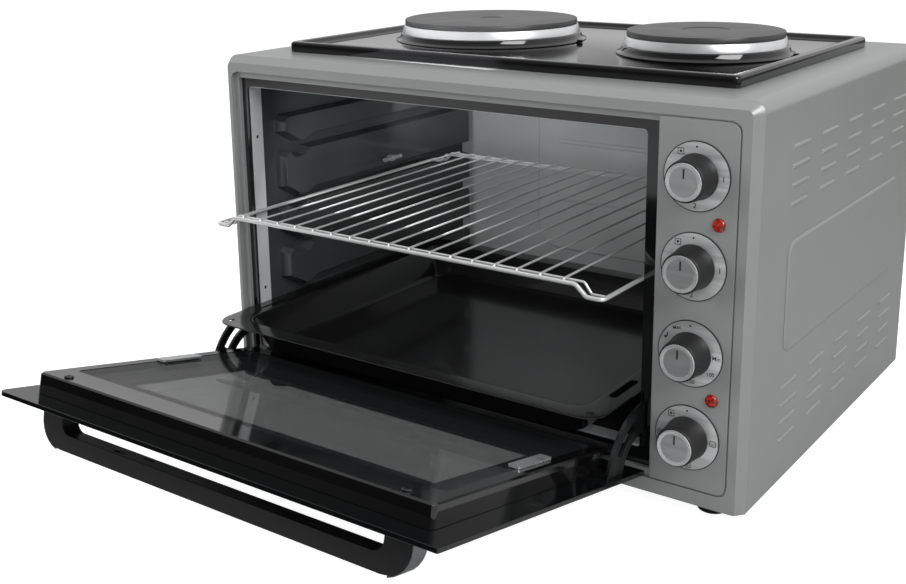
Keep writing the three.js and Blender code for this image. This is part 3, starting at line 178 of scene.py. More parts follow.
# %% Floor
def card(name, size, place, colour, rough, shine, turn=0.0):
    """A flat sheet of the studio, with its node tree and shader. turn is its angle about X."""
    bpy.ops.object.select_all(action="DESELECT")
    bpy.ops.mesh.primitive_plane_add(size=size, location=place, rotation=(turn, 0, 0))
    plane = bpy.context.object
    plane.name = name
    material = bpy.data.materials.new(f"{name}_surface")
    material.use_nodes = True
    shader = material.node_tree.nodes["Principled BSDF"]
    shader.inputs["Base Color"].default_value = (colour, colour, colour, 1)
    shader.inputs["Roughness"].default_value = rough
    shader.inputs["Specular IOR Level"].default_value = shine
    plane.data.materials.append(material)
    return plane, material.node_tree, shader


floor_glow = 0.9
floor, tree, shader = card("floor", 30, (0, 0, 0), 0.5, 0.9, 0.1)
ray = tree.nodes.new("ShaderNodeLightPath").outputs
seen = reckon(tree, "MAXIMUM", ray["Is Camera Ray"], ray["Is Transmission Ray"])
feed(tree, reckon(tree, "MULTIPLY", seen, floor_glow), shader.inputs["Emission Strength"])
shader.inputs["Emission Color"].default_value = (1, 1, 1, 1)
print("floor", tuple(round(side, 2) for side in floor.dimensions))

# %% [markdown]
# Photographers stand black cards, called flags, near glossy black things, so that their edges
# read as black. One low flag stands in front of the door. It shows in reflections only: it
# casts no shadow and the camera doesn't see it.

# %% Flag
flag, tree, shader = card("flag", 1, (-0.3, -0.62, 0.06), 0.01, 1, 0, math.pi / 2)
flag.scale = (1.1, 0.12, 1)
flag.visible_camera = False
flag.visible_diffuse = False
flag.visible_transmission = False
flag.visible_shadow = False
print("flag", tuple(round(side, 2) for side in flag.scale[:2]))

# %% [markdown]
# No real surface is one flat colour. Stove enamel has a fine orange peel and clouds of slightly
# different gloss, and rolled metal has lines along one direction. Both effects are used by many
# finishes, so each one is a node group that puts out plain values, and every material below
# gives it its own scale.


# %% Node groups for the fine structure of surfaces
def new_group(name, inputs, outputs):
    """An empty group with its sockets. An input is (name, kind, default)."""
    group = bpy.data.node_groups.new(name, "ShaderNodeTree")
    for label, kind, value in inputs:
        item = group.interface.new_socket(name=label, in_out="INPUT", socket_type=kind)
        if value is not None:
            item.default_value = value
    for label, kind in outputs:
        group.interface.new_socket(name=label, in_out="OUTPUT", socket_type=kind)
    return group, group.nodes.new("NodeGroupInput"), group.nodes.new("NodeGroupOutput")


def noise(group, vector, scale, detail):
    node = group.nodes.new("ShaderNodeTexNoise")
    node.inputs["Detail"].default_value = detail
    group.links.new(vector, node.inputs["Vector"])
    feed(group, scale, node.inputs["Scale"])
    return node.outputs["Fac"]


def make_skin():
    """Clouds of colour and gloss, and a fine peel for the bump."""
    group, given, out = new_group(
        "skin",
        [
            ("Vector", "NodeSocketVector", None),
            ("Peel Scale", "NodeSocketFloat", 600.0),
            ("Cloud Scale", "NodeSocketFloat", 9.0),
        ],
        [("Clouds", "NodeSocketFloat"), ("Peel", "NodeSocketFloat")],
    )
    vector = given.outputs["Vector"]
    group.links.new(noise(group, vector, given.outputs["Cloud Scale"], 4), out.inputs["Clouds"])
    group.links.new(noise(group, vector, given.outputs["Peel Scale"], 2), out.inputs["Peel"])
    return group


def make_brushing():
    """Long thin lines along one direction, as a roller or a belt leaves them."""
    group, given, out = new_group(
        "brushing",
        [("Vector", "NodeSocketVector", None), ("Stretch", "NodeSocketVector", (1, 1, 1))],
        [("Lines", "NodeSocketFloat"), ("Bands", "NodeSocketFloat")],
    )
    for label, scale, detail in (("Lines", 1.0, 3), ("Bands", 0.12, 2)):
        stretch = group.nodes.new("ShaderNodeMapping")
        group.links.new(given.outputs["Vector"], stretch.inputs["Vector"])
        group.links.new(given.outputs["Stretch"], stretch.inputs["Scale"])
        group.links.new(noise(group, stretch.outputs["Vector"], scale, detail), out.inputs[label])
    return group


skin = make_skin()
brushing = make_brushing()
print("groups", [g.name for g in bpy.data.node_groups])

# %% [markdown]
# Two builders cover most finishes. One mixes two close colours through the clouds, lets the
# gloss wander a little and adds the peel as a bump. The other does the same with brushed lines.
# The colours are given as they look on the real oven, and are turned into linear values.


# %% Builders for materials
def linear(code):
    """A colour as a web page writes it, as the linear values that a shader takes."""
    shares = [int(code[i : i + 2], 16) / 255 for i in (0, 2, 4)]
    return [s / 12.92 if s <= 0.04045 else ((s + 0.055) / 1.055) ** 2.4 for s in shares] + [1]


def start_material(name, group, **values):
    """A new material with one effect in it, which lies still on the piece."""
    material = bpy.data.materials.new(name)
    material.use_nodes = True
    tree = material.node_tree
    where = tree.nodes.new("ShaderNodeTexCoord").outputs["Object"]
    effect = add_effect(tree, group, where, **values)
    return material, tree, tree.nodes["Principled BSDF"], where, effect


def add_effect(tree, group, where, **values):
    """Places a node group. Its inputs are named as words with a _ between them."""
    effect = tree.nodes.new("ShaderNodeGroup")
    effect.node_tree = group
    for key, value in values.items():
        effect.inputs[key.replace("_", " ")].default_value = value
    tree.links.new(where, effect.inputs["Vector"])
    return effect.outputs


def colour_from(tree, shader, dark, light, factor):
    """Colours the surface between two colours, as far as the factor says."""
    mix = tree.nodes.new("ShaderNodeMix")
    mix.data_type = "RGBA"
    mix.inputs["A"].default_value = linear(dark)
    mix.inputs["B"].default_value = linear(light)
    tree.links.new(factor, mix.inputs["Factor"])
    tree.links.new(mix.outputs["Result"], shader.inputs["Base Color"])


def bump(tree, shader, height, depth):
    node = tree.nodes.new("ShaderNodeBump")
    node.inputs["Strength"].default_value = 1
    node.inputs["Distance"].default_value = depth
    tree.links.new(height, node.inputs["Height"])
    tree.links.new(node.outputs["Normal"], shader.inputs["Normal"])


def coated(name, dark, light, gloss, peel=(600, 2e-5), clouds=9, metallic=0.0, coat=0.0):
    """A painted, enamelled or moulded surface. gloss is its lowest and highest roughness, and
    peel is how fine the orange peel is and how deep."""
    material, tree, shader, _, effect = start_material(
        name, skin, Peel_Scale=peel[0], Cloud_Scale=clouds
    )
    colour_from(tree, shader, dark, light, spread(tree, effect["Clouds"], 0, 1))
    tree.links.new(spread(tree, effect["Clouds"], *gloss), shader.inputs["Roughness"])
    bump(tree, shader, effect["Peel"], peel[1])
    shader.inputs["Metallic"].default_value = metallic
    shader.inputs["Coat Weight"].default_value = coat
    shader.inputs["Coat Roughness"].default_value = 0.06
    return material


def brushed(name, dark, light, gloss, stretch, depth=1e-5, metallic=1.0):
    """Bare metal with lines. stretch is how fine they are along X, Y and Z, depth how deep."""
    material, tree, shader, _, effect = start_material(name, brushing, Stretch=stretch)
    colour_from(tree, shader, dark, light, spread(tree, effect["Bands"], 0, 1))
    tree.links.new(spread(tree, effect["Lines"], *gloss), shader.inputs["Roughness"])
    bump(tree, shader, effect["Lines"], depth)
    shader.inputs["Metallic"].default_value = metallic
    return material


# %% [markdown]
# Each finish gets a dark and a light colour and a range of roughness. The body is matt grey
# paint. The hob, the tray and the door are black enamel, which is glassier, so they get a coat.
# The cavity is grey enamel that mirrors its surroundings. The back wall gets a lighter copy of it,
# painted light for its bright face, and the collar a lighter, less metallic copy of the zinc,
# painted light where it lies in shade. The small parts are bare metal, moulded plastic and rubber.

# %% The oven's finishes
grey_paint = coated("grey_paint", "8c8e8d", "919392", (0.3, 0.36), metallic=0.25)
panel_paint = coated("panel_paint", "8b8d8c", "8f9190", (0.38, 0.42), metallic=0.25)
hob_enamel = coated("hob_enamel", "0a0a0b", "0f0f10", (0.05, 0.09), (160, 6e-6), coat=0.25)
ring_enamel = coated("ring_enamel", "111112", "181819", (0.25, 0.34), (400, 1e-5))
tray_enamel = coated("tray_enamel", "0c0c0d", "131314", (0.14, 0.22), (220, 6e-6), coat=0.3)
oven_enamel = coated("oven_enamel", "444647", "525455", (0.06, 0.12), (120, 3e-6), metallic=0.55)
# A lighter copy of the walls' enamel: painted light for the bright back wall.
back_enamel_painted_light = coated("back_enamel_painted_light", "a8aaab", "b6b8b9", (0.12, 0.18), (120, 3e-6), metallic=0.35)
black_moulding = coated("black_moulding", "1a1a1b", "222223", (0.38, 0.48), (1400, 2e-5))
handle_moulding = coated("handle_moulding", "0f0f10", "151516", (0.34, 0.42), (1400, 2e-5))
knob_moulding = coated("knob_moulding", "161617", "1d1d1e", (0.42, 0.5), (1600, 2e-5))
plate_coating = coated("plate_coating", "2e2e2f", "39393a", (0.34, 0.44), (700, 4e-5), 30)
rubber = coated("rubber", "161616", "1e1e1e", (0.7, 0.85), (900, 5e-5), 30)
switch_ceramic = coated("switch_ceramic", "d6d2c6", "e2dfd4", (0.5, 0.7), (500, 5e-5), 30)
disc_steel = brushed("disc_steel", "b6b7b8", "ecedee", (0.28, 0.38), (60, 60, 1400), metallic=0.7)
strip_steel = brushed("strip_steel", "77787a", "8e8f91", (0.3, 0.42), (700, 60, 60))
rim_steel = brushed("rim_steel", "cacbcc", "d6d7d8", (0.24, 0.3), (90, 90, 90), 1e-6, 0.65)
cap_steel = brushed("cap_steel", "a2a3a4", "b4b5b6", (0.3, 0.4), (80, 80, 1600), metallic=0.7)
trim_steel = brushed("trim_steel", "dadbdc", "e6e7e8", (0.28, 0.31), (260, 260, 12), 0, 0.75)
zinc = brushed("zinc", "c4c6c7", "d8dadb", (0.25, 0.38), (90, 90, 90), metallic=0.8)
arm_steel = brushed("arm_steel", "4a4b4d", "606163", (0.28, 0.4), (90, 600, 90))
chrome = brushed("chrome", "e8e8e9", "f4f4f5", (0.18, 0.26), (200, 200, 200), 3e-6, 0.65)
element_steel = brushed("element_steel", "4c4a48", "6a6866", (0.35, 0.5), (90, 500, 90))
door_enamel = coated("door_enamel", "0b0b0c", "101011", (0.06, 0.1), (240, 4e-6), coat=0.7)
# A lighter, less metallic copy of the zinc: painted light for the collar, which lies in shade.
collar_steel_painted_light = brushed("collar_steel_painted_light", "c8cacb", "dcdedf", (0.3, 0.42), (90, 90, 90), metallic=0.35)
print("materials", len(bpy.data.materials))

# %% [markdown]
# Lengths below are in millimetres from the middle of the body's front face at its lower edge,
# which is how a maker would measure the oven. One function turns such a place into the
# coordinates of the solids.

# %% Places on the oven
mm = 0.001
_, front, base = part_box("front_bezel")[0]


def spot(x, y, z):
    """A place on the oven, in the solids' metres."""
    return Vector((x * mm, front + y * mm, base + z * mm))


# How a piece that is made upright, along Z, is laid along another axis.
turns = {
    "Z": Matrix.Identity(4),
    "Y": Matrix.Rotation(math.pi / 2, 4, "X"),
    "X": Matrix(((0, 0, 1, 0), (1, 0, 0, 0), (0, 1, 0, 0), (0, 0, 0, 1))),
}
print("front face at", round(front, 4), "body starts at", round(base, 4))


# %% [markdown]
# The door has two panes. Both have a black printed border and a clear window, so the window is
# a mask in the plane of the door, which lies tipped about its hinge line. The mask is a node
# group, because both panes use it with sizes of their own.

# %% The window of the door
cavity_x = -37.8  # the cavity lies left of the middle, beside the controls
hinge_line = spot(cavity_x, 2, 17.3)
door_tip = math.radians(12.7)
window_from_hinge = 155.5 * mm
soft_edge = 0.5 * mm


def make_window():
    """One in a rectangle round the middle of the window, and zero outside it."""
    group, given, out = new_group(
        "door_window",
        [
            ("Vector", "NodeSocketVector", None),
            ("Half Width", "NodeSocketFloat", 0.17),
            ("Half Depth", "NodeSocketFloat", 0.07),
        ],
        [("Window", "NodeSocketFloat")],
    )
    level = group.nodes.new("ShaderNodeMapping")
    turn = Matrix.Rotation(door_tip, 3, "X")
    level.inputs["Rotation"].default_value = (door_tip, 0, 0)
    level.inputs["Location"].default_value = Vector((0, window_from_hinge, 0)) - turn @ hinge_line
    group.links.new(given.outputs["Vector"], level.inputs["Vector"])
    axes = group.nodes.new("ShaderNodeSeparateXYZ")
    group.links.new(level.outputs["Vector"], axes.inputs["Vector"])
    inside = []
    for axis, half in (("X", "Half Width"), ("Y", "Half Depth")):
        away = reckon(group, "ABSOLUTE", axes.outputs[axis])
        left_over = reckon(group, "SUBTRACT", given.outputs[half], away)
        inside.append(spread(group, left_over, 0, 1, -soft_edge / 2, soft_edge / 2))
    group.links.new(reckon(group, "MULTIPLY", *inside), out.inputs["Window"])
    return group


door_window = make_window()
print("hinge line at", tuple(round(v, 4) for v in hinge_line))


# %% Glass and lenses
def smeared(material_name, rough):
    """A smooth surface whose gloss wanders, as wiped glass does."""
    material, tree, shader, where, effect = start_material(material_name, skin, Cloud_Scale=14)
    smear = spread(tree, effect["Clouds"], rough, rough * 2)
    tree.links.new(smear, shader.inputs["Roughness"])
    return material, tree, shader, where


def printed_pane(name, border, clear, halves, alphas, coat):
    """halves are the window's half width and depth in millimetres, and alphas are how solid the
    border and the window are."""
    material, tree, shader, where = smeared(name, 0.025)
    wide, deep = (half * mm for half in halves)
    mask = add_effect(tree, door_window, where, Half_Width=wide, Half_Depth=deep)["Window"]
    colour_from(tree, shader, border, clear, mask)
    tree.links.new(spread(tree, mask, *alphas, 0, 1), shader.inputs["Alpha"])
    shader.inputs["Coat Weight"].default_value = coat
    return material


outer_glass = printed_pane("outer_glass", "0c0d0e", "2a2d2e", (208, 122), (1.0, 0.5), 0.1)
inner_glass = printed_pane("inner_glass", "1a1b1c", "2a2c2d", (206, 120), (0.5, 0.48), 0.3)
# Dark ink for the printed marks and setting lines; on the rims of the dial discs the same ink is
# painted shade for the gap round them.
ink_and_edge_shade = coated("ink_and_edge_shade", "1a1a1b", "202021", (0.5, 0.6))
print("materials", len(bpy.data.materials))

# %% [markdown]
# A pilot lamp's lens is moulded with small facets inside, which spread the light of the bulb.
# A Voronoi pattern paints each facet light red in its middle and dark red at its rim, a
# painted glint for the light that the facets spread, and gives each facet its own slope.

# %% Red lens
facets_per_metre = 420
red_lens, tree, shader, where = smeared("red_lens", 0.08)
facets = tree.nodes.new("ShaderNodeTexVoronoi")
facets.inputs["Scale"].default_value = facets_per_metre
tree.links.new(where, facets.inputs["Vector"])
facet = facets.outputs["Distance"]
# Painted glint: each facet is lighter in its middle and darker at its rim.
colour_from(tree, shader, "c42a1c", "6e0906", spread(tree, facet, 0, 1, 0.15, 0.7))
bump(tree, shader, facet, 0.0004)
shader.inputs["Transmission Weight"].default_value = 0.2
shader.inputs["Coat Weight"].default_value = 0.6
print("lens nodes", len(tree.nodes))

# %% [markdown]
# The pieces are modelled with the same steps as by hand: select, work in edit mode, leave edit
# mode, and apply a modifier. These helpers hold the steps that every piece needs. A piece that
# comes from a solid of the oven is a copy of it, because the solid itself stays as it is.


# %% Helpers for modelling
def begin():
    """Nothing stays selected, so an operator acts only on what is added next."""
    bpy.ops.object.select_all(action="DESELECT")


def only(piece):
    """Selects one piece and makes it the active one."""
    begin()
    piece.select_set(True)
    bpy.context.view_layer.objects.active = piece


def edit(piece, select="SELECT"):
    """Starts edit mode with all selected, or with KEEP what is selected already."""
    only(piece)
    bpy.ops.object.mode_set(mode="EDIT")
    if select != "KEEP":
        bpy.ops.mesh.select_all(action=select)


def stop_edit():
    bpy.ops.object.mode_set(mode="OBJECT")


def pick(piece, kind, test):
    """Selects the edges or faces that pass a test."""
    edit(piece, "DESELECT")
    bpy.ops.mesh.select_mode(type=kind)
    stop_edit()
    mesh = piece.data
    for item in mesh.edges if kind == "EDGE" else mesh.polygons:
        item.select = bool(test(item))


def smooth(piece, angle=35):
    """Puts the place into the mesh, merges what touches and rounds the shading."""
    only(piece)
    bpy.ops.object.transform_apply(location=True, rotation=True, scale=True)
    edit(piece)
    bpy.ops.mesh.remove_doubles(threshold=1e-6)
    bpy.ops.mesh.normals_make_consistent(inside=False)
    stop_edit()
    bpy.ops.object.shade_smooth_by_angle(angle=math.radians(angle))
    return piece


def modify(piece, kind, **settings):
    """Adds a modifier and applies it."""
    only(piece)
    modifier = piece.modifiers.new(kind.lower(), kind)
    for key, value in settings.items():
        setattr(modifier, key, value)
    bpy.ops.object.modifier_apply(modifier=modifier.name)


def soften(piece, width, segments=2, angle=30):
    """Rounds the edges that are sharper than the angle. The width is in millimetres."""
    modify(
        piece,
        "BEVEL",
        width=width * mm,
        segments=segments,
        limit_method="ANGLE",
        angle_limit=math.radians(angle),
        use_clamp_overlap=True,
    )


def hand_over(piece, body, slot, material, *nodes):
    """Gives a piece its finish and the body that it moves with, and hides the nodes that it stands
    for.
    """
    if material:
        piece.data.materials.clear()
        piece.data.materials.append(material)
    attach(piece, body)
    if nodes:
        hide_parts(*nodes)
    return piece


def second_finish(piece, material, test):
    """Gives another finish to the faces that pass a test."""
    piece.data.materials.append(material)
    for face in piece.data.polygons:
        if test(face):
            face.material_index = 1


def dress(node, material):
    """A node whose shape is right as it is only gets its finish."""
    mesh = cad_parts[node].data
    mesh.materials.clear()
    mesh.materials.append(material)
    only(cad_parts[node])
    bpy.ops.object.shade_smooth_by_angle(angle=math.radians(30))


def refined(node, name, width, segments=2, angle=30, shade=35):
    """A copy of a node with its edges rounded, as pressing or moulding leaves them."""
    piece = bpy.data.objects.new(name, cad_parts[node].data.copy())
    bpy.context.scene.collection.objects.link(piece)
    edit(piece)
    bpy.ops.mesh.remove_doubles(threshold=1e-6)
    bpy.ops.mesh.dissolve_limited(angle_limit=math.radians(0.5))
    stop_edit()
    soften(piece, width, segments, angle)
    smooth(piece, shade)
    modify(piece, "WEIGHTED_NORMAL", keep_sharp=True)
    return piece


def join(pieces, name):
    """Makes one piece of several."""
    begin()
    for piece in pieces:
        piece.select_set(True)
    bpy.context.view_layer.objects.active = pieces[0]
    bpy.ops.object.join()
    pieces[0].name = name
    return pieces[0]


def copy_of(piece, name, move):
    """A copy with a mesh of its own, moved by a vector."""
    copy = bpy.data.objects.new(name, piece.data.copy())
    bpy.context.scene.collection.objects.link(copy)
    copy.data.transform(Matrix.Translation(move))
    return copy


def turned(name, rings, centre, along="Z", steps=96, closed=False, angle=35):
    """A turned piece, grown ring by ring from [radius, height] pairs in millimetres."""
    begin()
    radius, height = rings[0]
    bpy.ops.mesh.primitive_circle_add(vertices=steps, radius=radius * mm, fill_type="NOTHING")
    piece = bpy.context.object
    piece.name = name
    edit(piece)
    bpy.ops.transform.translate(value=(0, 0, height * mm))
    for next_radius, next_height in rings[1:]:
        rise = (0, 0, (next_height - height) * mm)
        bpy.ops.mesh.extrude_edges_move(TRANSFORM_OT_translate={"value": rise})
        share = next_radius / radius
        bpy.ops.transform.resize(value=(share, share, 1), center_override=(0, 0, 0))
        radius, height = next_radius, next_height
    if not closed:
        bpy.ops.mesh.edge_face_add()
        bpy.ops.mesh.select_all(action="DESELECT")
        bpy.ops.mesh.select_non_manifold()
        bpy.ops.mesh.edge_face_add()
    stop_edit()
    piece.data.transform(Matrix.Translation(centre) @ turns[along])
    return smooth(piece, angle)


def rounded_block(name, low, high, radius, along="Z", steps=6):
    """A plate with rounded corners. low and high are in millimetres on the oven."""
    begin()
    order = {"X": (1, 2, 0), "Y": (0, 2, 1), "Z": (0, 1, 2)}[along]
    size = [high[i] - low[i] for i in order]
    middle = spot(*((a + b) / 2 for a, b in zip(low, high)))
    bpy.ops.mesh.primitive_plane_add(size=1)
    piece = bpy.context.object
    piece.name = name
    edit(piece)
    bpy.ops.transform.resize(value=(size[0] * mm, size[1] * mm, 1))
    if radius:
        bpy.ops.mesh.bevel(offset=radius * mm, segments=steps, affect="VERTICES")
    bpy.ops.mesh.select_all(action="SELECT")
    bpy.ops.transform.translate(value=(0, 0, -size[2] * mm / 2))
    rise = (0, 0, size[2] * mm)
    bpy.ops.mesh.extrude_region_move(TRANSFORM_OT_translate={"value": rise})
    stop_edit()
    piece.data.transform(Matrix.Translation(middle) @ turns[along])
    return smooth(piece)


def filleted(points, radius, steps=6, loop=False):
    """Corner points with a round bend at each, as vectors in metres."""
    count = len(points)
    line = []
    for i, here in enumerate(points):
        if not loop and i in (0, count - 1):
            line.append(here)
            continue
        before = (points[i - 1] - here).normalized()
        after = (points[(i + 1) % count] - here).normalized()
        half = before.angle(after) / 2
        reach = min(radius / math.tan(half), (points[i - 1] - here).length / 2.1)
        start, end = here + before * reach, here + after * reach
        for k in range(steps + 1):
            t = k / steps
            line.append(start * (1 - t) ** 2 + here * 2 * t * (1 - t) + end * t**2)
    return line


def wire(name, points, radius, loop=False, sides=4):
    """A round wire along points in metres, with closed ends."""
    curve = bpy.data.curves.new(name, "CURVE")
    curve.dimensions = "3D"
    curve.bevel_depth = radius * mm
    curve.bevel_resolution = sides
    curve.use_fill_caps = True
    spline = curve.splines.new("POLY")
    spline.points.add(len(points) - 1)
    for point, place in zip(spline.points, points):
        point.co = (*place, 1)
    spline.use_cyclic_u = loop
    piece = bpy.data.objects.new(name, curve)
    bpy.context.scene.collection.objects.link(piece)
    only(piece)
    bpy.ops.object.convert(target="MESH")
    return smooth(bpy.context.object, 60)


# %% [markdown]
# The wrapper is one steel sheet, bent over the top and both sides. It could be cut from a solid,
# but a real one is bent, so a box is given round upper edges, loses the faces that the sheet
# doesn't have, and only then gets its thickness. The louvres and the raised panel are pressed
# outwards from it.

# %% Wrapper
body_half, body_high, body_deep = 290, 348.4, 430
bend_radius = 12
sheet = 1.2
seam = 9.25  # where the bezel ends and the sheet starts
begin()
bpy.ops.mesh.primitive_cube_add(size=1)
wrapper = bpy.context.object
wrapper.data.transform(
    Matrix.Translation(spot(0, (seam + body_deep) / 2, (body_high + sheet) / 2))
    @ Matrix.Diagonal((2 * body_half * mm, (body_deep - seam) * mm, (body_high - sheet) * mm, 1))
)
top_level = spot(0, 0, body_high).z


def upper_long_edge(edge):
    ends = [wrapper.data.vertices[i].co for i in edge.vertices]
    lengthwise = abs(ends[0].y - ends[1].y) > 0.1
    return lengthwise and all(abs(v.z - top_level) < 1e-5 for v in ends)


pick(wrapper, "EDGE", upper_long_edge)
edit(wrapper, "KEEP")
bpy.ops.mesh.bevel(offset=bend_radius * mm, segments=10, affect="EDGES")
stop_edit()
pick(wrapper, "FACE", lambda face: abs(face.normal.y) > 0.9 or face.normal.z < -0.9)
edit(wrapper, "KEEP")
bpy.ops.mesh.delete(type="FACE")
bpy.ops.mesh.select_mode(type="VERT")
stop_edit()
modify(wrapper, "SOLIDIFY", thickness=sheet * mm, offset=-1)
smooth(wrapper, 30)
print("wrapper faces", len(wrapper.data.polygons))

# %% Louvres and raised panels
louvre_long, louvre_tall, louvre_out = 40.8, 8.6, 1.7
louvre_pitch, row_pitch = 68.7, 16.3
louvre_starts = [71 + louvre_pitch * i for i in range(5)]
louvre_rows = [low + row_pitch * i for low in (39.6, 251.6) for i in range(4)]
panel_near, panel_far, panel_low, panel_high = 72.2, 380, 120.3, 221.5
panel_out, panel_slope, panel_corner = 1.8, 3.2, 14
crest_long, crest_top, crest_low = 0.84, 0.3, 0.12  # as shares of the hood's size
# The hoods' flattest upper faces are painted near black: painted shade for the dark inside each
# hood's open mouth.
mouth_painted_shade = coated("mouth_painted_shade", "0a0a0a", "0e0e0e", (0.6, 0.8))


def louvre(side):
    """One hood, pressed out of the side, whose long face leans down to the sheet."""
    begin()
    bpy.ops.mesh.primitive_cube_add(size=1)
    hood = bpy.context.object
    size = (2 * louvre_out * mm, louvre_long * mm, louvre_tall * mm, 1)
    hood.data.transform(Matrix.Diagonal(size))
    for vertex in hood.data.vertices:
        if vertex.co.x * side > 0:
            vertex.co.y *= crest_long
            vertex.co.z = (crest_top if vertex.co.z > 0 else crest_low) * louvre_tall * mm
    soften(hood, 0.9, 3, 20)
    hood.data.materials.append(grey_paint)
    # Painted shade: the flattest upper faces turn near black, for the hood's open mouth.
    second_finish(hood, mouth_painted_shade, lambda face: face.normal.z > 0.95)
    return hood


hoods = []
for side in (-1, 1):
    pattern = louvre(side)
    for y in louvre_starts:
        for z in louvre_rows:
            place = spot(side * body_half, y + louvre_long / 2, z)
            hoods.append(copy_of(pattern, "hood", place))
    bpy.data.objects.remove(pattern)
raised = []
for side in (-1, 1):
    low_x, high_x = sorted((side * body_half, side * (body_half + panel_out)))
    low, high = (low_x, panel_near, panel_low), (high_x, panel_far, panel_high)
    panel = rounded_block("raised", low, high, panel_corner, "X", 8)
    pick(panel, "FACE", lambda face: face.normal.x * side > 0.9)
    edit(panel, "KEEP")
    spans = [high[i] - low[i] for i in (1, 2)]
    shares = [(span - 2 * panel_slope) / span for span in spans]
    bpy.ops.transform.resize(value=(1, *shares))
    bpy.ops.mesh.select_mode(type="VERT")
    stop_edit()
    soften(panel, 1.2, 3, 20)
    panel.data.materials.append(grey_paint)
    raised.append(smooth(panel))
wrapper.data.materials.append(grey_paint)
# The painted mouth shade is also the wrapper's second finish, so the hoods keep it when they are
# joined.
wrapper.data.materials.append(mouth_painted_shade)
wrapper = join([wrapper, *hoods, *raised], "housing_sheet")
bpy.ops.object.shade_smooth_by_angle(angle=math.radians(40))
modify(wrapper, "WEIGHTED_NORMAL", keep_sharp=True)
hand_over(wrapper, "oven", "grey_paint", None, "housing_wrapper")
print("wrapper with louvres", len(wrapper.data.polygons))

# %% [markdown]
# The bezel is a moulding that frames the whole front. The control panel is a plate that lies in
# a recess of it, with a thin dark joint all round. The solids have the right shape for these
# pieces, so each is a copy with softer edges, and the panel is made a little smaller for the
# joint.

# %% Bezel, panels and base
bezel = refined("front_bezel", "bezel", 0.5, 3)
hand_over(bezel, "oven", "grey_paint", grey_paint, "front_bezel")
joint = 0.9 * mm
face = refined("control_panel", "control_face", 0.25, 2)
edit(face)
low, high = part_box("control_panel")
middle = (low + high) / 2
shares = [1 - 2 * joint / (high[i] - low[i]) for i in (0, 2)]
bpy.ops.transform.resize(value=(shares[0], 1, shares[1]), center_override=middle)
stop_edit()
hand_over(face, "oven", "grey_paint", panel_paint, "control_panel")
back = refined("back_panel", "back_sheet", 0.3, 2)
hand_over(back, "oven", "grey_paint", grey_paint, "back_panel")
dress("base_plate", zinc)
dress("cord_gland", black_moulding)
print("bezel faces", len(bezel.data.polygons))

# %% [markdown]
# Each foot is a soft rubber stud with a rounded sole. Like every round piece here it could be
# cut from a cylinder, but it is grown ring by ring, as it would be turned on a lathe.

# %% Feet
foot_rings = [
    (9, -12), (12.7, -12), (13.3, -11.6), (13.7, -10.8), (14.9, -1), (14.5, -0.3), (4, -0.3),
    (4, 2.9),
]
foot_x, foot_ys = 253, (27, body_deep - 27)
for i, (x, y) in enumerate([(x, y) for y in foot_ys for x in (-foot_x, foot_x)]):
    foot = turned(f"rubber_foot_{i + 1}", foot_rings, spot(x, y, 0), steps=48)
    hand_over(foot, "oven", "foot_rubber", rubber, f"foot_{i + 1}")
print("foot stands on", round(spot(0, 0, foot_rings[0][1]).z, 5))

# %% [markdown]
# Behind the bezel lies a black ring with a slot for each hinge arm, and behind that a collar
# that closes the gap to the cavity. The collar's zinc is a lighter, less metallic copy of the
# finish, painted light where it lies in shade. The cavity's walls are pressed from sheet, with
# guides for the rack and the tray, and the back wall's enamel is a lighter copy, painted light.
# All of them are copies of the solids with rounded edges.

# %% The ring, the collar and the cavity
ring = refined("opening_frame", "black_ring", 0.3, 2)
hand_over(ring, "oven", "black_enamel", door_enamel, "opening_frame")
collar = refined("opening_collar", "zinc_collar", 0.15, 1)
# The collar takes the lighter zinc, which is painted light where it lies in shade.
hand_over(collar, "oven", "zinc_steel", collar_steel_painted_light, "opening_collar")
for side in ("left", "right"):
    wall = refined(f"cavity_{side}_wall", f"{side}_wall_pressing", 0.6, angle=25, shade=30)
    hand_over(wall, "oven", "grey_enamel", oven_enamel, f"cavity_{side}_wall")
back_wall = refined("cavity_back_wall", "back_wall_pressing", 0.6, angle=40, shade=30)
# The back wall takes the lighter enamel, which is painted light on it.
hand_over(back_wall, "oven", "grey_enamel", back_enamel_painted_light, "cavity_back_wall")
dress("cavity_roof", oven_enamel)
dress("cavity_floor", oven_enamel)
dress("thermostat_bulb", zinc)
print("back wall faces", len(back_wall.data.polygons))

# %% [markdown]
# Each heating element is one steel tube, bent into a U, whose two ends meet the cavity's right
# wall.

# %% Heating elements
left, right, near, far = -237.1, 203, 100.4, 349.5
for name, level in (("lower_element", 40.05), ("upper_element", 310.75)):
    corners = ((right, far), (left, far), (left, near), (right, near))
    bends = filleted([spot(x, y, level) for x, y in corners], 22 * mm, 8)
    rod = wire(f"{name}_rod", bends, 3.2, sides=5)
    hand_over(rod, "oven", "zinc_steel", element_steel, name)
    print(name, "faces", len(rod.data.polygons))

# %% [markdown]
# Every dial is a thin disc of brushed steel behind a black knob. The knob is turned from a wide
# skirt to a narrower grip, and a silver cap with a raised rim is let into its face. A dark line
# on the cap shows the setting.

# %% Dials and knobs
dial_x = 238.7
dial_pitch = 74.93
dial_levels = [60.3 + dial_pitch * i for i in (3, 2, 1, 0)]
disc_front = -1.25
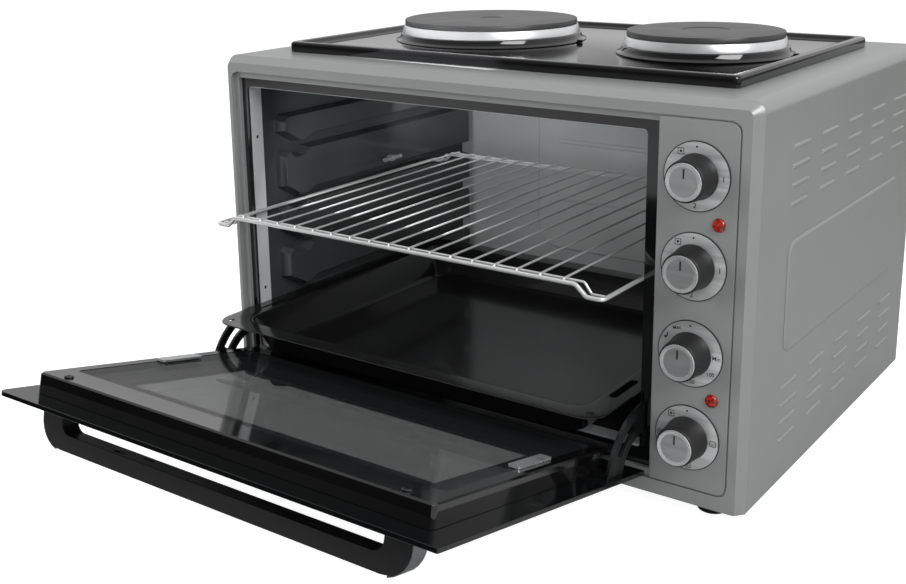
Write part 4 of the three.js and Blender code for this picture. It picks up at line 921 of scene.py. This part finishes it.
# Disc faces that lean more than shade_edge_slope take the dark ink as painted shade; cap faces that
# lean more than cap_slope take the rim steel.
shade_edge_slope, cap_slope = 0.97, 0.99  # faces that lean more than this get the second finish
disc_rings = [
    (4, 0.25), (28.6, 0.25), (29, 0.45), (29, 1.0), (28.2, 1.25), (4, 1.25), (4, 0.25),
]
grip_rings = [
    (3, -24), (3, 1.5), (18.3, 1.5), (19.0, 1.9), (19.2, 2.6), (18.9, 3.6), (18.5, 4.2),
    (17.2, 23.2), (17.0, 24.2), (16.7, 24.8), (16.2, 25.1), (3, 25.1),
]
cap_rings = [
    (5, 25.35), (15.5, 25.35), (15.5, 25.9), (15.3, 26.35), (15.0, 26.5), (14.7, 26.5),
    (12.2, 25.72), (11.9, 25.7), (5, 25.7),
]
line_half, line_low, line_high = 0.7, 2.8, 10.8
for i, level in enumerate(dial_levels):
    centre = spot(dial_x, 0, level)
    knob = f"knob_body_{i + 1}"
    disc = turned(f"dial_disc_{i + 1}", disc_rings, centre, "Y", 128, closed=True)
    hand_over(disc, "oven", "steel_trim", disc_steel, f"dial_plate_{i + 1}")
    # The disc's rim is painted with the dark ink: painted shade for the gap round it.
    second_finish(disc, ink_and_edge_shade, lambda face: abs(face.normal.y) < shade_edge_slope)
    grip = turned(f"knob_grip_{i + 1}", grip_rings, centre, "Y")
    hand_over(grip, knob, "black_plastic", knob_moulding, f"knob_{i + 1}")
    cap = turned(f"cap_{i + 1}", cap_rings, centre, "Y")
    hand_over(cap, knob, "steel_trim", cap_steel, f"knob_cap_{i + 1}")
    second_finish(cap, rim_steel, lambda face: face.normal.y > -cap_slope)
    low = (dial_x - line_half, -25.85, level + line_low)
    high = (dial_x + line_half, -25.6, level + line_high)
    line = rounded_block(f"cap_line_{i + 1}", low, high, 0.3, "Y", 3)
    hand_over(line, knob, "black_plastic", ink_and_edge_shade)
    dress(f"rotary_switch_{i + 1}", switch_ceramic)
print("dials at", [round(level, 2) for level in dial_levels])


# %% [markdown]
# The discs are printed with plain numbers and simple signs. Each mark is a flat mesh a hair
# above its disc, made from text or from small plates. An image could carry them too, but a
# mesh stays sharp at any distance.


# %% Printed marks
def word(text, x, z, height, spin=0.0):
    """Printed letters or figures. spin turns them about their middle, in degrees."""
    begin()
    bpy.ops.object.text_add()
    mark = bpy.context.object
    mark.data.body = text
    mark.data.size = height * mm
    mark.data.align_x = "CENTER"
    mark.data.align_y = "CENTER"
    mark.data.extrude = 0.02 * mm
    mark.data.offset = 0.06 * mm
    bpy.ops.object.convert(target="MESH")
    mark = bpy.context.object
    place = Matrix.Translation(spot(x, disc_front - 0.03, z))
    mark.data.transform(place @ turns["Y"] @ Matrix.Rotation(math.radians(spin), 4, "Z"))
    return mark


def dot(x, z, radius):
    """A printed spot."""
    rings = [(radius, -disc_front), (radius, -disc_front + 0.05)]
    return turned("dot", rings, spot(x, 0, z), "Y", 24)


def bar(x, z, wide, tall, spin=0.0):
    """A printed stroke."""
    low = (x - wide / 2, disc_front - 0.05, z - tall / 2)
    high = (x + wide / 2, disc_front, z + tall / 2)
    mark = rounded_block("bar", low, high, 0, "Y")
    around = spot(x, 0, z)
    mark.data.transform(
        Matrix.Translation(around)
        @ Matrix.Rotation(math.radians(spin), 4, "Y")
        @ Matrix.Translation(-around)
    )
    return mark


def box_sign(x, z, size, inner):
    """A small outlined square, with strokes for what it means."""
    half, line = size / 2, 0.55
    marks = [
        bar(x, z + half, size, line),
        bar(x, z - half, size, line),
        bar(x - half, z, line, size),
        bar(x + half, z, line, size),
    ]
    if inner == "plate":
        marks.append(dot(x, z, size * 0.22))
    if "top" in inner:
        marks.append(bar(x, z + size * 0.22, size * 0.55, line))
    if "bottom" in inner:
        marks.append(bar(x, z - size * 0.22, size * 0.55, line))
    return marks


def ring_place(level, radius, clock):
    """A place on a dial. clock is the angle from the top, clockwise, in degrees."""
    angle = math.radians(clock)
    return dial_x + radius * math.sin(angle), level + radius * math.cos(angle)


for i, level in enumerate(dial_levels):
    marks = [dot(dial_x - 0.5, level + 24.2, 0.9)]
    if i < 2:
        marks.append(word("1", dial_x + 23, level, 6.2))
        marks.append(word("2", dial_x - 0.5, level - 24, 6.2))
        marks += box_sign(*ring_place(level, 24, -36), 5, "plate")
    elif i == 2:
        marks.append(word("Min", dial_x + 23.4, level + 0.2, 5))
        marks.append(word("100", *ring_place(level, 23.8, 128), 4.8, 10))
        marks.append(word("150", *ring_place(level, 24.2, 176), 4.8))
        marks.append(word("200", *ring_place(level, 24, 232), 4.8))
        marks.append(word("Max", *ring_place(level, 24.2, -31), 4.4, 14))
        marks.append(bar(*ring_place(level, 24.5, -58), 1.1, 4.2, 10))
        marks.append(dot(*ring_place(level, 24.9, -64), 1.1))
    else:
        marks += box_sign(dial_x + 23.4, level, 5, "bottom")
        marks += box_sign(*ring_place(level, 24, 176), 5, "top bottom")
        marks += box_sign(*ring_place(level, 24, 268), 5, "top")
        marks += box_sign(*ring_place(level, 24, -38), 5, "plate")
    dial_print = join(marks, f"dial_print_{i + 1}")
    hand_over(dial_print, "oven", "black_plastic", ink_and_edge_shade)
    print(dial_print.name, "faces", len(dial_print.data.polygons))

# %% [markdown]
# Two pilot lamps show that the plates and the oven are on. Each is a small red dome with a
# flange that rests on the panel.

# %% Pilot lamps
lamp_rings = [
    (4.6, -8), (4.6, 0.25), (5.7, 0.25), (5.75, 0.9), (5.3, 1.9), (4.6, 2.5), (3.4, 2.95),
    (1.6, 3.2), (0.5, 3.24),
]
pilot_x, pilot_levels = 259.1, (247.65, 97.75)
for i, level in enumerate(pilot_levels):
    lens = turned(f"lens_{i + 1}", lamp_rings, spot(pilot_x, 0, level), "Y", 48, angle=60)
    hand_over(lens, "oven", "red_lens", red_lens, f"pilot_lamp_{i + 1}")
print("lens faces", len(lens.data.polygons))

# %% [markdown]
# The hob is a shallow enamelled tray with a rolled rim. It could be cut from a block, but a
# pressing has one even wall, so it is grown like one: outline by outline, outwards and inwards,
# and closed by its floor.


# %% Hob tray
def pressing(name, low, high, radius, rings):
    """Grown from a rounded outline in millimetres and closed by its floor. Each ring is
    (inwards, height), with more inwards along X where a third number says so."""
    begin()
    size = [(high[i] - low[i]) for i in (0, 1)]
    middle = spot((low[0] + high[0]) / 2, (low[1] + high[1]) / 2, 0)
    bpy.ops.mesh.primitive_plane_add(size=1)
    piece = bpy.context.object
    piece.name = name
    edit(piece)
    inwards, height = rings[0]
    spans = [side - 2 * inwards for side in size]
    bpy.ops.transform.resize(value=(spans[0] * mm, spans[1] * mm, 1))
    bpy.ops.mesh.bevel(offset=(radius - inwards) * mm, segments=8, affect="VERTICES")
    bpy.ops.mesh.select_all(action="SELECT")
    bpy.ops.mesh.delete(type="ONLY_FACE")
    bpy.ops.mesh.select_all(action="SELECT")
    bpy.ops.transform.translate(value=(0, 0, height * mm))
    for step_in, step_high, *more in rings[1:]:
        rise = (0, 0, (step_high - height) * mm)
        bpy.ops.mesh.extrude_edges_move(TRANSFORM_OT_translate={"value": rise})
        wanted = [size[0] - 2 * (step_in + sum(more)), size[1] - 2 * step_in]
        shares = [new / old for new, old in zip(wanted, spans)]
        bpy.ops.transform.resize(value=(*shares, 1), center_override=(0, 0, 0))
        spans, height = wanted, step_high
    bpy.ops.mesh.edge_face_add()
    stop_edit()
    piece.data.transform(Matrix.Translation(Vector((middle.x, middle.y, base))))
    return smooth(piece, 40)


top = body_high
hob_low, hob_high, hob_corner = (-247.5, 54.5), (247.5, 384.5), 9
hob_rings = [
    (3, top + 0.3), (0.5, top + 0.3), (0, top + 0.8), (0, top + 7.6), (0.3, top + 9.2),
    (1.3, top + 10.3), (3, top + 10.7), (6.6, top + 10.7), (8.2, top + 10.3),
    (9.2, top + 9.2), (11, top + 6.9), (12.2, top + 6.0), (14, top + 5.7),
]
hob = pressing("hob_pressing", hob_low, hob_high, hob_corner, hob_rings)
hand_over(hob, "oven", "black_enamel", hob_enamel, "hob_tray")
print("hob faces", len(hob.data.polygons))

# %% [markdown]
# A sealed hotplate is a cast iron disc with a shallow dish in its middle. A bright steel ring
# holds its edge, and a black spill ring covers the hole in the tray. A small stud beside each
# ring is the screw that earths it.

# %% Hotplates
plate_y = 219.5
for size, x, radius, dish in (("large", -104.8, 92.3, 11), ("small", 143.4, 75.3, 23)):
    centre = spot(x, plate_y, top)
    plate_rings = [
        (5, -12.4), (5, 9.5), (radius - 6.4, 9.5), (radius - 6.4, 22.4), (radius - 0.3, 22.4),
        (radius, 22.7), (radius, 26.9), (radius - 0.4, 27.5), (radius - 1.2, 27.7),
        (dish + 1.2, 27.7), (dish + 0.5, 27.55), (dish, 27.0), (3, 26.9),
    ]
    plate = turned(f"{size}_plate", plate_rings, centre, steps=160)
    hand_over(plate, "oven", "cast_iron", plate_coating, f"{size}_hotplate")
    trim_rings = [
        (radius - 4.3, 22.1), (radius - 4.3, 20.95), (radius - 0.6, 20.95),
        (radius + 1.8, 13.8), (radius + 3, 13.8), (radius + 3, 14.4), (radius + 1.2, 21.2),
        (radius + 0.6, 22.0), (radius - 0.2, 22.1), (radius - 4.3, 22.1),
    ]
    trim = turned(f"{size}_steel_ring", trim_rings, centre, steps=160, closed=True)
    hand_over(trim, "oven", "steel_trim", trim_steel, f"{size}_plate_trim")
    spill_rings = [
        (radius - 1.2, 13.5), (radius - 1.2, 12.4), (radius + 1.8, 12.4), (radius + 4, 7.2),
        (radius + 7.6, 6.0), (radius + 9.7, 6.0), (radius + 10, 6.4), (radius + 9.4, 7.0),
        (radius + 6.6, 8.0), (radius + 5.7, 9.0), (radius + 4.4, 12.9), (radius + 3.5, 13.5),
        (radius - 1.2, 13.5),
    ]
    spill = turned(f"{size}_black_ring", spill_rings, centre, steps=160, closed=True)
    hand_over(spill, "oven", "black_enamel", hob_enamel, f"{size}_spill_ring")
    stud_rings = [(3.2, 6.0), (3.2, 8.4), (2.5, 9.1), (0.4, 9.3)]
    beside = centre + Vector((radius + 12, 10, 0)) * mm
    stud = turned(f"{size}_earth_stud", stud_rings, beside, steps=24)
    hand_over(stud, "oven", "black_enamel", hob_enamel)
    print(size, "plate faces", len(plate.data.polygons))

# %% [markdown]
# The rack is welded from wire. Its frame bends up at both ends so that the bars lie above the
# side wires, and each bar hooks over the two cross wires. Every wire is a curve with a round
# section, which keeps the bends smooth.

# %% Wire rack
rack_ends = (-49.7, 323.1)
rack_half, flat_half, rise_half, cross_half = 220.7, 205.7, 195.3, 198.7
side_z, cross_z, bar_z = 184.88, 194.28, 197.38
bar_count, bars_half = 17, 184.3


def rack_spot(x, y, z):
    """A place on the rack, whose X counts from the cavity's middle."""
    return spot(cavity_x + x, y, z)


def end_wire(y, top_half):
    """The corners of a wire across the rack, which rises from the side wires to the bars."""
    right_half = [(top_half, cross_z), (flat_half, side_z), (rack_half, side_z)]
    left_half = [(-x, z) for x, z in right_half[::-1]]
    return [rack_spot(x, y, z) for x, z in left_half + right_half]


loop = end_wire(rack_ends[0], rise_half) + end_wire(rack_ends[1], rise_half)[::-1]
rack_parts = [wire("frame_wire", filleted(loop, 6 * mm, 5, True), 2, True, 6)]
for y in (rack_ends[0] + 9, rack_ends[1] - 9):
    rack_parts.append(wire("cross", filleted(end_wire(y, cross_half), 4 * mm, 4), 1.2))
for i in range(bar_count):
    x = bars_half * (2 * i / (bar_count - 1) - 1)
    ends = [
        rack_spot(x, rack_ends[0] - 0.8, cross_z + 1.6),
        rack_spot(x, rack_ends[0] + 0.8, bar_z),
        rack_spot(x, rack_ends[1] - 0.8, bar_z),
        rack_spot(x, rack_ends[1] + 0.8, cross_z + 1.6),
    ]
    rack_parts.append(wire("bar", filleted(ends, 1.5 * mm, 4), 1.05))
rack = join(rack_parts, "chrome_rack")
hand_over(rack, "rack", "chrome_wire", chrome, "wire_rack")
print("rack faces", len(rack.data.polygons))

# %% [markdown]
# The baking tray is pressed from one sheet: a flat rim with a rolled edge, sloping walls with
# wide corners and a flat floor. It is grown outline by outline and then given its thickness,
# and the rim's holes and hand slots are punched with one Boolean.

# %% Baking tray
tray_low, tray_high = 48.65, 83.43
tray_half, tray_front, tray_back = 223.5, -62, 320
tray_corner, tray_sheet = 22, 1.1
more = 3.5  # how much wider the rim is at the sides
tray_rings = [
    (0.6, tray_high - 1.5), (0, tray_high - 0.9), (0, tray_high - 0.5), (0.5, tray_high),
    (1.5, tray_high), (18.5, tray_high, more), (20.6, tray_high - 0.5, more),
    (22.4, tray_high - 2, more), (32.6, tray_low + 6, more), (34.4, tray_low + 3, more),
    (37.4, tray_low + 1.4, more), (42, tray_low + 1.2, more),
]
low, high = (cavity_x - tray_half, tray_front), (cavity_x + tray_half, tray_back)
tray = pressing("tray_pressing", low, high, tray_corner, tray_rings)
modify(tray, "SOLIDIFY", thickness=tray_sheet * mm, offset=-1)
hole_in, hole_radius = 13.4, 3.2
slot_in, slot_half, slot_near, slot_far = 14.6, 4, -9, 37
under, over = tray_high - 4, tray_high + 4
punches = []
for side in (-1, 1):
    x = cavity_x + side * (tray_half - hole_in)
    for y in (tray_front + hole_in, tray_back - hole_in):
        hole = [(hole_radius, 0), (hole_radius, over - under)]
        punches.append(turned("punch", hole, spot(x, y, under), steps=32))
    x = cavity_x + side * (tray_half - slot_in)
    low, high = (x - slot_half, slot_near, under), (x + slot_half, slot_far, over)
    punches.append(rounded_block("punch", low, high, slot_half - 0.05, steps=10))
punch = join(punches, "punches")
modify(tray, "BOOLEAN", object=punch, operation="DIFFERENCE")
bpy.data.objects.remove(punch)
smooth(tray, 40)
hand_over(tray, "tray", "black_enamel", tray_enamel, "baking_tray")
print("tray faces", len(tray.data.polygons))

# %% [markdown]
# The door is a frame that carries both panes, and it lies open on its hinge arms. The outer
# pane fills the whole recess of the bezel, so it reaches past the frame on every side. A black
# mask under the inner pane hides the hollow of the frame round the window.

# %% Door
in_door = Matrix.Translation(hinge_line) @ Matrix.Rotation(-door_tip, 4, "X")


def door_block(name, half, near, far, low, high):
    """A block in the plane of the door. near and far count from the hinge line."""
    begin()
    bpy.ops.mesh.primitive_cube_add(size=1)
    block = bpy.context.object
    block.name = name
    middle = Vector((0, -(near + far) / 2, (low + high) / 2)) * mm
    size = (2 * half * mm, (far - near) * mm, (high - low) * mm, 1)
    block.data.transform(in_door @ Matrix.Translation(middle) @ Matrix.Diagonal(size))
    return block


mask = door_block("window_mask", 194.7, 49.8, 249.2, 12.1, 12.9)
opening = door_block("opening", 173, 84, 227, 10, 15)
modify(mask, "BOOLEAN", object=opening, operation="DIFFERENCE")
bpy.data.objects.remove(opening)
hand_over(smooth(mask), "door", "inner_glass", ring_enamel)
glass = refined("door_outer_glass", "outer_pane", 0.5, 2)
hand_over(glass, "door", "outer_glass", outer_glass, "door_outer_glass")
moulding = refined("door_frame", "door_frame_moulding", 0.8, 3)
hand_over(moulding, "door", "black_enamel", door_enamel, "door_frame")
pane = refined("door_inner_glass", "inner_pane", 0.3, 2)
hand_over(pane, "door", "inner_glass", inner_glass, "door_inner_glass")
handle = refined("door_handle", "handle_bow", 1.6, 4)
hand_over(handle, "door", "black_plastic", handle_moulding, "door_handle")
for side in ("left", "right"):
    strip = refined(f"handle_end_{side}", f"handle_strip_{side}", 0.3, 2)
    hand_over(strip, "door", "steel_trim", strip_steel, f"handle_end_{side}")
    arm = refined(f"hinge_arm_{side}", f"hinge_plate_{side}", 0.4, 2)
    hand_over(arm, "door", "zinc_steel", arm_steel, f"hinge_arm_{side}")
    dress(f"door_clip_{side}", zinc)
    dress(f"door_screw_{side}", arm_steel)
print("handle faces", len(handle.data.polygons))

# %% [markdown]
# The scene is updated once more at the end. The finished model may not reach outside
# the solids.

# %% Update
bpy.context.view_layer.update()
